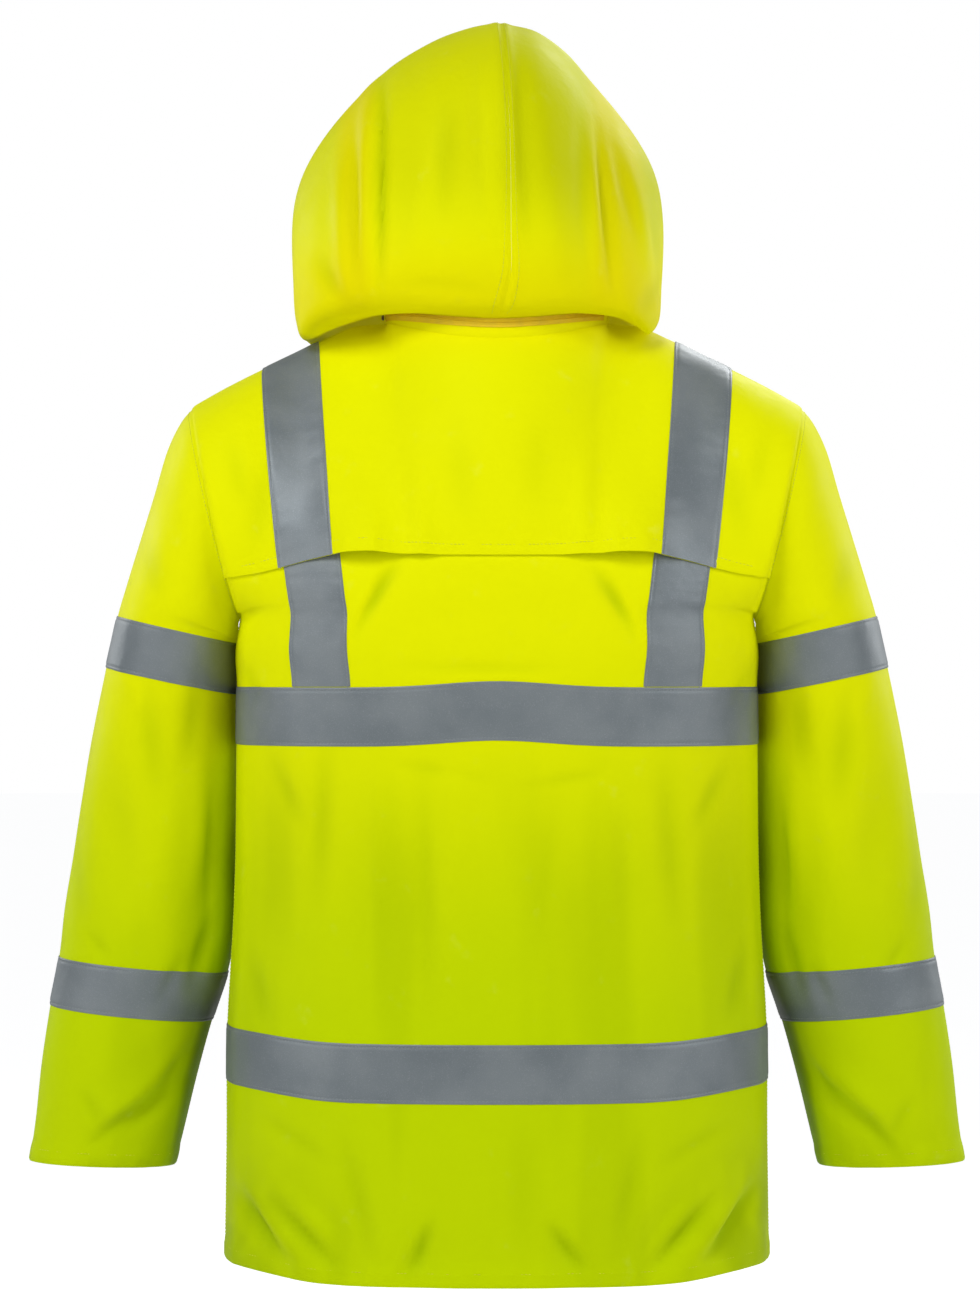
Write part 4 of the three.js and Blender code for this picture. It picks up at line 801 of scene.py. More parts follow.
@dataclass(frozen=True)
class CoatedCloth:
    """Fluorescent woven cloth with a smooth proofed face."""

    name: str = "coated_cloth"
    # high and low are painted light and shade: the cloth is painted lighter and yellower high up and darker
    # and greener low down, between the heights from_z and to_z, as light from above falls on it.
    high: tuple = (0.84, 0.87, 0.0, 1)
    low: tuple = (0.54, 0.70, 0.0, 1)
    # The darker green of painted shade, put into fold troughs and creases, the hem's lower corners and the
    # lower streaks.
    shade_colour: tuple = (0.30, 0.44, 0.0, 1)
    # deep is the near black green of painted shadow on a sleeve's side that faces the body.
    deep: tuple = (0.10, 0.17, 0.0, 1)
    # hood is the darker colour of painted shade on the hood, which is stronger on its right half.
    hood: tuple = (0.56, 0.60, 0.0, 1)
    # Two upright bands of warm painted shade down the hood's deep folds: each one's place across, and the
    # distances at which it starts and is full.
    fold_shade_bands: tuple = ((0.124, 0.024, 0.006), (-0.104, 0.034, 0.01))
    # Where the hem's lower corners are painted in mottled shade: how far out from the middle, and how low, in
    # metres.
    corner_shade_x: tuple = (0.12, 0.23)
    corner_shade_z: tuple = (-0.67, -0.78)
    # Heights over which the hood's painted shade comes in, and how strong it is on its left and its right
    # half.
    hood_z: tuple = (0.05, 0.15)
    hood_shade_halves: tuple = (0.46, 0.8)
    # Heights below which soft upright streaks of painted shade come in.
    streak_shade_z: tuple = (-0.3, -0.5)
    # The warm orange of painted shade in the hood's deep folds and under the hood's edge.
    warm_shade: tuple = (0.86, 0.70, 0.0, 1)
    from_z: float = -0.62
    to_z: float = -0.20
    # How strongly the cloth glows: painted light that stands in for its fluorescence.
    glow: float = 0.05
    weave: float = 0.0007

    def make(self) -> bpy.types.Material:
        """Builds the material."""
        tree = Tree(self.name)
        place = tree.add("ShaderNodeTexCoord").outputs["Object"]
        cut = tree.add("ShaderNodeUVMap", uv_map="cut").outputs["UV"]
        # Painted light and shade: the colour runs from low to high with height, and a little noise moves
        # where it changes.
        height = tree.add("ShaderNodeSeparateXYZ", {0: place}).outputs["Z"]
        patchy = tree.noise(place, 7.0, 3.0)
        level = tree.math("ADD", height, tree.math("MULTIPLY", tree.math("SUBTRACT", patchy, 0.5), 0.12))
        base = tree.colours(tree.span(level, self.from_z, self.to_z), self.low, self.high)
        # Painted shade: the cloth is painted darker green where the shade value marks troughs and creases, up
        # to 1.
        shade = tree.add("ShaderNodeAttribute", attribute_name="shade").outputs["Fac"]
        base = tree.colours(tree.math("MULTIPLY", tree.math("MINIMUM", shade, 1.0), 0.5), base, self.shade_colour)
        # Painted shadow: past 1, the shade value turns the colour towards deep, on a sleeve's side that faces
        # the body.
        base = tree.colours(tree.span(shade, 1.0, 2.0, 0.0, 0.8), base, self.deep)
        # Painted shade: the lower corners of the hem are painted a mottled darker green.
        across = tree.add("ShaderNodeSeparateXYZ", {0: place}).outputs["X"]
        beside = tree.span(tree.math("ABSOLUTE", across, 0.0), *self.corner_shade_x)
        corner = tree.math("MULTIPLY", beside, tree.span(height, *self.corner_shade_z))
        mottled_shade = tree.span(tree.noise(place, 15.0, 2.0), 0.38, 0.6, 0.15, 0.8)
        corner = tree.math("MULTIPLY", corner, tree.math("MULTIPLY", mottled_shade, 0.75))
        base = tree.colours(corner, base, self.shade_colour)
        # Painted shade: the hood above the collar is painted darker, its right half more than its left.
        half_shade = tree.span(across, 0.005, -0.01, *self.hood_shade_halves)
        hood_shade_mask = tree.math("MULTIPLY", tree.span(height, *self.hood_z), half_shade)
        base = tree.colours(hood_shade_mask, base, self.hood)
        # Painted shade: two upright bands down the hood's deep folds are painted warm orange.
        fold_shade_bands = []
        for x, far, near in self.fold_shade_bands:
            away = tree.math("ABSOLUTE", tree.math("SUBTRACT", across, x))
            fold_shade_bands.append(tree.span(away, far, near))
        fold_shade_mask = tree.math("MULTIPLY", tree.math("MAXIMUM", *fold_shade_bands), tree.span(height, 0.0, 0.05, 0.0, 0.42))
        base = tree.colours(fold_shade_mask, base, self.warm_shade)
        # Painted shade: soft upright streaks of darker green, stronger lower down, stand for the shade of
        # shallow folds.
        upright = {0: place, 1: (1.0, 1.0, 0.14)}
        stretched = tree.add("ShaderNodeVectorMath", upright, operation="MULTIPLY").outputs[0]
        streaky = tree.span(tree.noise(stretched, 13.0, 2.0), 0.46, 0.62)
        streak_shade = tree.math("MULTIPLY", streaky, tree.span(height, *self.streak_shade_z, 0.0, 0.18))
        base = tree.colours(streak_shade, base, self.shade_colour)
        # Painted shade: a band of warm orange round the hood's lower edge, where it shades the collar.
        neck = tree.math("MULTIPLY", tree.span(height, -0.04, 0.03), tree.span(height, 0.11, 0.02))
        base = tree.colours(tree.math("MULTIPLY", neck, 0.45), base, self.warm_shade)
        worn = tree.span(tree.noise(place, 42.0, 4.0, 0.6), 0.62, 0.8, 0.0, 0.05)
        base = tree.colours(worn, base, (0.9, 0.93, 0.35, 1))
        threads = []
        for direction in ("X", "Y"):
            values = {"Vector": cut, "Scale": 1 / self.weave / 6.2832 * 2, "Distortion": 0.0}
            wave = tree.add("ShaderNodeTexWave", values, bands_direction=direction)
            threads.append(wave.outputs["Fac"])
        weave = tree.math("MULTIPLY", threads[0], threads[1])
        crumple = tree.noise(place, 30.0, 3.0, 0.55)
        grain = tree.noise(place, 260.0, 2.0)
        tree.bumps((weave, 0.00005), (crumple, 0.0011), (grain, 0.00009))
        rough = tree.span(tree.noise(place, 18.0, 3.0), 0.3, 0.7, 0.5, 0.64)
        # The cloth's faint glow in its own base colour is painted light, standing in for the real cloth's
        # fluorescence.
        return tree.settle(
            Base_Color=base, Roughness=rough, Specular_IOR_Level=0.14, Specular_Tint=(0.9, 0.95, 0.12, 1),
            Emission_Color=base, Emission_Strength=self.glow,
        )


@dataclass(frozen=True)
class ReflectiveTape:
    """Grey tape faced with tiny glass beads."""

    name: str = "reflective_tape"
    colour: tuple = (0.178, 0.207, 0.224, 1)
    light: tuple = (0.228, 0.257, 0.272, 1)

    def make(self) -> bpy.types.Material:
        """Builds the material."""
        tree = Tree(self.name)
        place = tree.add("ShaderNodeTexCoord").outputs["Object"]
        beads = tree.noise(place, 1400.0, 1.0)
        cloudy = tree.noise(place, 16.0, 3.0)
        base = tree.colours(tree.span(cloudy, 0.3, 0.7), self.colour, self.light)
        base = tree.colours(tree.span(beads, 0.55, 0.75, 0.0, 0.25), base, (0.45, 0.48, 0.5, 1))
        scuffs = tree.span(tree.noise(place, 70.0, 5.0, 0.7), 0.66, 0.78, 0.0, 0.3)
        base = tree.colours(scuffs, base, (0.17, 0.19, 0.2, 1))
        # Painted shade: the tape is painted nearly black where the shade value marks creases and a sleeve's
        # side that faces the body.
        shade = tree.add("ShaderNodeAttribute", attribute_name="shade").outputs["Fac"]
        base = tree.colours(tree.span(shade, 0.5, 2.0, 0.0, 0.75), base, (0.05, 0.055, 0.05, 1))
        tree.bumps((beads, 0.00006), (tree.noise(place, 34.0, 3.0), 0.0009))
        rough = tree.span(cloudy, 0.3, 0.7, 0.42, 0.52)
        return tree.settle(Base_Color=base, Roughness=rough, Metallic=0.25, Specular_IOR_Level=0.5)


@dataclass(frozen=True)
class Thread:
    """Twisted sewing thread."""

    name: str
    colour: tuple

    def make(self) -> bpy.types.Material:
        """Builds the material."""
        tree = Tree(self.name)
        place = tree.add("ShaderNodeTexCoord").outputs["Object"]
        fuzz = tree.noise(place, 900.0, 2.0)
        darker = tuple(0.7 * c for c in self.colour[:3]) + (1,)
        base = tree.colours(fuzz, darker, self.colour)
        tree.bumps((fuzz, 0.0001))
        return tree.settle(Base_Color=base, Roughness=0.75, Sheen_Weight=0.15)


@dataclass(frozen=True)
class Moulded:
    """Moulded plastic of a zip's teeth and tape ribs."""

    name: str
    colour: tuple
    roughness: float = 0.42

    def make(self) -> bpy.types.Material:
        """Builds the material."""
        tree = Tree(self.name)
        place = tree.add("ShaderNodeTexCoord").outputs["Object"]
        cloudy = tree.noise(place, 120.0, 3.0)
        darker = tuple(0.8 * c for c in self.colour[:3]) + (1,)
        base = tree.colours(cloudy, darker, self.colour)
        tree.bumps((tree.noise(place, 800.0, 2.0), 0.00004))
        rough = tree.span(cloudy, 0.3, 0.7, self.roughness, self.roughness + 0.12)
        return tree.settle(Base_Color=base, Roughness=rough, Specular_IOR_Level=0.45)


@dataclass(frozen=True)
class Metal:
    """Plated die-cast metal, a little rubbed."""

    name: str
    colour: tuple
    roughness: float = 0.3

    def make(self) -> bpy.types.Material:
        """Builds the material."""
        tree = Tree(self.name)
        place = tree.add("ShaderNodeTexCoord").outputs["Object"]
        rubbed = tree.noise(place, 240.0, 4.0, 0.6)
        darker = tuple(0.6 * c for c in self.colour[:3]) + (1,)
        base = tree.colours(tree.span(rubbed, 0.35, 0.65), darker, self.colour)
        tree.bumps((tree.noise(place, 1500.0, 2.0), 0.00003))
        rough = tree.span(rubbed, 0.3, 0.7, self.roughness, self.roughness + 0.2)
        return tree.settle(Base_Color=base, Roughness=rough, Metallic=0.9)


class Finish(Enum):
    """The finishes of the jacket, each with its record slot."""

    CLOTH = (CoatedCloth(), "cloth")
    TAPE = (ReflectiveTape(), "tape")
    THREAD = (Thread("yellow_thread", (0.80, 0.86, 0.03, 1)), "cloth")
    TAPE_THREAD = (Thread("grey_thread", (0.30, 0.33, 0.34, 1)), "tape")
    ZIP_TAPE = (Moulded("zip_tape", (0.60, 0.64, 0.01, 1), 0.7), "zip")
    WARM_SHADE_TAPE = (Moulded("warm_zip_tape", (0.88, 0.60, 0.01, 1), 0.7), "zip")
    # The hood zip's orange is painted light: it stands for warm light in the shadow gap under the hood's
    # edge.
    TEETH = (Moulded("zip_teeth", (0.42, 0.5, 0.02, 1)), "zip")
    METAL = (Metal("slider_metal", (0.45, 0.46, 0.47, 1)), "metal")
    DARK = (Metal("dark_metal", (0.05, 0.035, 0.022, 1), 0.4), "dark_metal")

    @property
    def material(self) -> bpy.types.Material:
        """The finish's material, made the first time that it is asked for."""
        finish = self.value[0]
        return bpy.data.materials.get(finish.name) or finish.make()

    @property
    def slot(self) -> str:
        """The record's slot."""
        return self.value[1]


@dataclass
class Flat:
    """The flat size that a piece was cut to, in metres."""

    width: float
    length: float
    area: float | None = None


def dress(obj, finish: Finish, nodes: Sequence[str] = (), flat: Flat | None = None):
    """Gives a piece its finish and its body, and hides the solids that it stands for.

    Args:
        obj: The piece.
        finish: Its finish.
        nodes: The solids that it replaces.
        flat: Its flat size, where it is a sheet of cloth. Not used.

    Returns:
        The piece.
    """
    obj.data.materials.clear()
    obj.data.materials.append(finish.material)
    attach(obj, BODY)
    finish.slot
    if nodes:
        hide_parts(*nodes)
    log.info("%s: %d faces", obj.name, len(obj.data.polygons))
    return obj


# Rows of small things along lines.


class Small(Enum):
    """What a row repeats."""

    STITCH = "stitch"
    TOOTH = "tooth"


def row_tree(small: Small) -> bpy.types.NodeTree:
    """Builds the node tree that repeats a small thing along the lines of a mesh."""
    name = f"row_of_{small.value}"
    if name in bpy.data.node_groups:
        return bpy.data.node_groups[name]
    tree = bpy.data.node_groups.new(name, "GeometryNodeTree")
    face = tree.interface
    face.new_socket("Geometry", in_out="INPUT", socket_type="NodeSocketGeometry")
    for label in ("Pitch", "Length", "Width", "Height"):
        face.new_socket(label, in_out="INPUT", socket_type="NodeSocketFloat")
    face.new_socket("Seed", in_out="INPUT", socket_type="NodeSocketInt")
    face.new_socket("Material", in_out="INPUT", socket_type="NodeSocketMaterial")
    face.new_socket("Geometry", in_out="OUTPUT", socket_type="NodeSocketGeometry")
    add, link = tree.nodes.new, tree.links.new
    given, result = add("NodeGroupInput"), add("NodeGroupOutput")
    curve, resample = add("GeometryNodeMeshToCurve"), add("GeometryNodeResampleCurve")
    resample.mode = "LENGTH"
    link(given.outputs["Geometry"], curve.inputs["Mesh"])
    link(curve.outputs["Curve"], resample.inputs["Curve"])
    link(given.outputs["Pitch"], resample.inputs["Length"])
    if small is Small.STITCH:
        shape = add("GeometryNodeMeshIcoSphere")
        shape.inputs["Radius"].default_value = 0.5
    else:
        shape = add("GeometryNodeMeshCylinder")
        shape.inputs["Vertices"].default_value = 8
        shape.inputs["Radius"].default_value = 0.5
        shape.inputs["Depth"].default_value = 1.0
    align = add("FunctionNodeAlignRotationToVector")
    align.axis = "Z"
    tangent = add("GeometryNodeInputTangent")
    link(tangent.outputs[0], align.inputs["Vector"])
    vary = add("FunctionNodeRandomValue")
    vary.data_type = "FLOAT"
    floats = [s for s in vary.inputs if s.type == "VALUE" and s.name in ("Min", "Max")]
    floats[0].default_value, floats[1].default_value = (0.88, 1.06) if small is Small.STITCH else (0.99, 1.01)
    link(given.outputs["Seed"], vary.inputs["Seed"])
    size, scaled = add("ShaderNodeCombineXYZ"), add("ShaderNodeVectorMath")
    for label, axis in (("Width", "X"), ("Height", "Y"), ("Length", "Z")):
        link(given.outputs[label], size.inputs[axis])
    scaled.operation = "SCALE"
    link(size.outputs[0], scaled.inputs[0])
    link([s for s in vary.outputs if s.type == "VALUE"][0], scaled.inputs["Scale"])
    place = add("GeometryNodeInstanceOnPoints")
    link(resample.outputs["Curve"], place.inputs["Points"])
    link(shape.outputs["Mesh"], place.inputs["Instance"])
    link(align.outputs["Rotation"], place.inputs["Rotation"])
    link(scaled.outputs[0], place.inputs["Scale"])
    real, finish = add("GeometryNodeRealizeInstances"), add("GeometryNodeSetMaterial")
    link(place.outputs["Instances"], real.inputs["Geometry"])
    link(real.outputs["Geometry"], finish.inputs["Geometry"])
    link(given.outputs["Material"], finish.inputs["Material"])
    link(finish.outputs["Geometry"], result.inputs["Geometry"])
    return tree


@dataclass
class Rows:
    """Rows of stitches or teeth that make up one piece."""

    name: str
    finish: Finish
    small: Small = Small.STITCH
    pitch: float = 3.3
    length: float = 2.7
    width: float = 0.62
    height: float = 0.5
    seed: int = 7
    lines: list[np.ndarray] = field(default_factory=list)

    def add(self, line: np.ndarray) -> None:
        """Adds a line of points, in millimetres."""
        self.lines.append(np.asarray(line, float).reshape(-1, 3))

    def build(self, nodes: Sequence[str] = ()):
        """Makes the rows into one plain mesh.

        Args:
            nodes: The solids that the rows stand for.

        Returns:
            The piece.
        """
        starts = np.cumsum([0] + [len(line) for line in self.lines])
        edges = [
            (int(s) + k, int(s) + k + 1) for s, line in zip(starts, self.lines) for k in range(len(line) - 1)
        ]
        mesh = bpy.data.meshes.new(self.name)
        mesh.from_pydata((np.concatenate(self.lines) * MM).tolist(), edges, [])
        obj = bpy.data.objects.new(self.name, mesh)
        bpy.context.collection.objects.link(obj)
        tree = row_tree(self.small)
        given = {
            "Pitch": self.pitch * MM, "Length": self.length * MM, "Width": self.width * MM,
            "Height": self.height * MM, "Seed": self.seed, "Material": self.finish.material,
        }
        rows = obj.modifiers.new("rows", "NODES")
        rows.node_group = tree
        for item in tree.interface.items_tree:
            if item.in_out == "INPUT" and item.name in given:
                rows[item.identifier] = given[item.name]
        made = bpy.data.meshes.new_from_object(obj.evaluated_get(bpy.context.evaluated_depsgraph_get()))
        obj.modifiers.clear()
        obj.data = made
        bpy.data.meshes.remove(mesh)
        made.name = self.name
        if self.small is Small.STITCH:
            made.shade_smooth()
        return dress(obj, self.finish, nodes)


@dataclass
class Sewing:
    """All the stitches of the jacket, in one piece for each part of it."""

    groups: dict[tuple[str, Finish], Rows] = field(default_factory=dict)

    def run(self, where: str, finish: Finish, line: np.ndarray) -> None:
        """Adds a run of stitches.

        Args:
            where: The part of the jacket that the run is on.
            finish: The thread.
            line: The run's points, in millimetres.
        """
        key = (where, finish)
        if key not in self.groups:
            title = f"stitches_{where}_{finish.name.lower()}"
            self.groups[key] = Rows(title, finish, seed=11 + len(self.groups))
        self.groups[key].add(line)

    def build(self) -> None:
        """Makes every group."""
        for rows in self.groups.values():
            rows.build()


# The pieces of the jacket.


@dataclass
class TapeShape:
    """How a sewn tape lies: clear of the cloth, pressed down along its stitches."""

    gap: float = 0.12
    edge: float = 0.55
    crown: float = 1.05
    stitch_in: float = 2.6
    press: float = 0.42
    pucker: float = 0.22

    def lay(self, name: str, cut: Cut, rows, columns, across: int, sewing: Sewing, where: str,
            base=0.0, ring: bool = False, ends: bool = False):
        """Lays a tape on a cut.

        Args:
            name: The new piece's name.
            cut: The cloth that it lies on.
            rows: Its places along the cut.
            columns: Its places across the cut.
            across: The axis of its width, 0 or 1.
            sewing: Takes its stitches.
            where: The part of the jacket that it is on.
            base: How far the cloth's own face is from the cut there, as a number or a function.
            ring: Whether it goes all the way round.
            ends: Whether its ends are sewn down too.

        Returns:
            The piece.
        """
        patch = cut.at(rows, columns)
        lift = base(rows, columns) if callable(base) else base
        patch = patch.moved(np.broadcast_to(lift, patch.p.shape[:2]))
        near = patch.along(across)
        width = np.take(near, [-1], axis=across)
        near = np.minimum(near, width - near)
        far = patch.along(1 - across)
        if ends:
            near = np.minimum(near, np.take(far, [-1], axis=1 - across) - far)
        seed = sum(map(ord, name))
        waves = self.pucker * ripple(far, seed) * np.exp(-((near - 7) / 9) ** 2)
        high = mix(self.edge, self.crown, smooth(0, 1.4, near))
        high = high - self.press * np.exp(-(((near - self.stitch_in) / 1.0) ** 2)) + waves
        obj = wall(name, patch, self.gap, np.maximum(high, self.gap + 0.25), ring)
        places = rows if across == 0 else columns
        for line, step in ((places[0], self.stitch_in), (places[-1], -self.stitch_in)):
            at = cut.beside(across, line, step)
            run = (np.array([at]), columns) if across == 0 else (rows, np.array([at]))
            if ring:
                run = (run[0], np.append(run[1], run[1][0] + len(cut.points[0])))
            thread = cut.at(*run)
            lift = base(*run) if callable(base) else base
            place = thread.moved(np.broadcast_to(lift + self.crown - self.press, thread.p.shape[:2]))
            sewing.run(where, Finish.TAPE_THREAD, place.p)
        return obj


def hem_profile(distance: np.ndarray, width: float, step: float, seed: int, along: np.ndarray) -> np.ndarray:
    """How far a turned hem stands out, with its stitched valley and a slight pucker."""
    rounded = 1 - 0.6 * (1 - smooth(0, 1.6, distance))
    turned = step * (1 - smooth(width - 1.2, width + 1.0, distance)) * rounded
    valley = 0.45 * np.exp(-(((distance - width + 2.6) / 1.1) ** 2))
    wave = 0.5 * ripple(along, seed, 21.0) * np.exp(-(((distance - width + 6) / 10) ** 2))
    return turned - valley + wave


def seam_dip(distance: np.ndarray, depth: float = 0.7, width: float = 1.8) -> np.ndarray:
    """How far the cloth dips into a seam."""
    return -depth * np.exp(-((distance / width) ** 2))


def edge_distance(patch: Patch, axis: int) -> np.ndarray:
    """How far each point is from the nearer end along one axis."""
    along = patch.along(axis)
    return np.minimum(along, np.take(along, [-1], axis=axis) - along)


# Places across the turned hem, closer together at its edge and its stitches.
HEM_ROWS = (0, 0.05, 0.12, 0.3, 0.5, 0.68, 0.77, 0.84, 0.91, 1.0)


@dataclass
class BackPanel:
    """The back of the jacket, from the hem up under the yoke, with its tapes."""

    step: float = 4.7
    tape: TapeShape = field(default_factory=TapeShape)

    def build(self, sewing: Sewing) -> None:
        """Makes the back, its two tapes and the lower shoulder tapes."""
        lines = both_halves(PANEL_LINES)
        points, out = panel(BACK, lines)
        cut = Cut(
            points, out, BODY_FOLDS, BODY_CREASES, self._fold_hold, self._crease_hold, round_side=True,
        )
        columns = dense_edges(cut, 1, 0, 2 * MIDDLE, self.step)
        rows = np.concatenate([HEM_ROWS, cut.lines(0, self.step, 1, TOP_ROW)[1:]])
        patch = cut.at(rows, columns)
        along = patch.along(0)
        high = hem_profile(along, 16, 1.0, 3, patch.along(1)) + seam_dip(edge_distance(patch, 1))
        dress(wall("back_cloth", patch, high - CLOTH, high), Finish.CLOTH, ["back"], Flat(0.64, 0.86, 0.5))
        for name, row, flat in (
            ("chest_tape_back", BODY_HEIGHTS.index(CHEST_TAPE[0]), Flat(0.05, 0.62)),
            ("hem_tape_back", BODY_HEIGHTS.index(HEM_TAPE[0]), Flat(0.05, 0.63)),
        ):
            across = dense_edges(cut, 0, row, row + 1, 5.0)
            obj = self.tape.lay(f"{name}_strip", cut, across, cut.lines(1, 5.0), 0, sewing, "back")
            dress(obj, Finish.TAPE, [name], flat)
        rows = cut.lines(0, 4.0, BODY_HEIGHTS.index(CHEST_TAPE[1]) + 0.02, FLAP_ROW + 1)
        for name, first, last in (
            ("left", MIDDLE + BRACE[0], MIDDLE + BRACE[1]),
            ("right", MIDDLE - BRACE[1], MIDDLE - BRACE[0]),
        ):
            across = dense_edges(cut, 1, first, last, 5.0)
            obj = self.tape.lay(f"brace_back_{name}_strip", cut, rows, across, 1, sewing, "back")
            dress(obj, Finish.TAPE, [f"brace_back_{name}"], Flat(0.05, 0.148))
        hem = cut.at([cut.beside(0, 0, 13.4)], cut.lines(1, 5.0)).moved(0.65)
        sewing.run("back", Finish.THREAD, hem.p)
        for side in (0, 2 * MIDDLE):
            inwards = cut.beside(1, side, 3.0 if side == 0 else -3.0)
            seam = cut.at(cut.lines(0, 5.0, 0, FIRST_SHOULDER_ROW), [inwards]).moved(0.12)
            sewing.run("back", Finish.THREAD, seam.p)

    @staticmethod
    def _fold_hold(rows: np.ndarray, columns: np.ndarray) -> np.ndarray:
        side = np.minimum(columns, 2 * MIDDLE - columns)
        return smooth(FIRST_SHOULDER_ROW, FIRST_SHOULDER_ROW - 1, rows) * smooth(0, 1, side)

    @staticmethod
    def _crease_hold(rows: np.ndarray, columns: np.ndarray) -> np.ndarray:
        side = np.minimum(columns, 2 * MIDDLE - columns)
        return smooth(FLAP_ROW + 1, FLAP_ROW - 1, rows) * smooth(0, 1.2, side)


@dataclass
class Yoke:
    """The cape over the back, sewn in at the shoulders and armholes and free at its lower edge."""

    step: float = 4.0
    tape: TapeShape = field(default_factory=TapeShape)

    def build(self, sewing: Sewing) -> None:
        """Makes the yoke and the upper shoulder tapes."""
        self.lines = both_halves(PANEL_LINES)
        points, out = panel(BACK, self.lines)
        cut = Cut(
            points[FLAP_ROW:], out[FLAP_ROW:], YOKE_FOLDS, YOKE_CREASES, self._fold_hold, self._fold_hold,
        )
        columns = dense_edges(cut, 1, 0, 2 * MIDDLE, self.step)
        edge_rows = [0, 0.04, 0.1, 0.2, 0.32, 0.42, 0.52, 0.65, 0.8]
        rows = np.concatenate([edge_rows, cut.lines(0, self.step, 1, 8)])
        patch = cut.at(rows, columns)
        along = patch.along(0)
        lift = self._lift(rows, columns)
        high = lift + YOKE_CLOTH + hem_profile(along, 12, 0.5, 5, patch.along(1)) * 0.8
        high = high + seam_dip(edge_distance(patch, 1)) + seam_dip(along[-1] - along, 0.5)
        obj = wall("yoke_cloth", patch, np.maximum(lift, high - YOKE_CLOTH - 0.6), high)
        dress(obj, Finish.CLOTH, ["back_yoke"], Flat(0.56, 0.27, 0.125))
        rows = np.concatenate([[0, 0.05, 0.12], cut.lines(0, 4.0, 0.25, ROWS_OVER_FLAP - 0.03)])
        for name, first, last in (
            ("left", MIDDLE + BRACE[0] + YOKE_BRACE_SLIDE, MIDDLE + BRACE[1] + YOKE_BRACE_SLIDE),
            ("right", MIDDLE - BRACE[1] - YOKE_BRACE_SLIDE, MIDDLE - BRACE[0] - YOKE_BRACE_SLIDE),
        ):
            across = dense_edges(cut, 1, first, last, 5.0)
            obj = self.tape.lay(
                f"brace_yoke_{name}_strip", cut, rows, across, 1, sewing, "yoke", base=self._outside,
            )
            dress(obj, Finish.TAPE, [f"brace_yoke_{name}"], Flat(0.05, 0.24))
        hem_rows_at = np.array([cut.beside(0, 0, 9.4)])
        columns = cut.lines(1, 4.0, 0.4, 2 * MIDDLE - 0.4)
        hem = cut.at(hem_rows_at, columns).moved(self._outside(hem_rows_at, columns) + 0.1)
        sewing.run("yoke", Finish.THREAD, hem.p)

    def _lift(self, rows: np.ndarray, columns: np.ndarray) -> np.ndarray:
        share = np.interp(columns, np.arange(len(self.lines)), shares_of(self.lines))[None, :]
        near = np.exp(-(((share - 0.46) / 0.12) ** 2))
        opening = FLAP_OPEN * mix(0.06, 1.7, near) * smooth(1.04, 0.8, share)
        return YOKE_LIFT + opening * smooth(FLAP_FADE_ROWS, 0, np.asarray(rows)[:, None])

    def _outside(self, rows: np.ndarray, columns: np.ndarray) -> np.ndarray:
        return self._lift(rows, columns) + YOKE_CLOTH

    @staticmethod
    def _fold_hold(rows: np.ndarray, columns: np.ndarray) -> np.ndarray:
        side = np.minimum(columns, 2 * MIDDLE - columns)
        return smooth(ROWS_OVER_FLAP, 2, rows) * smooth(0, 1.2, side)


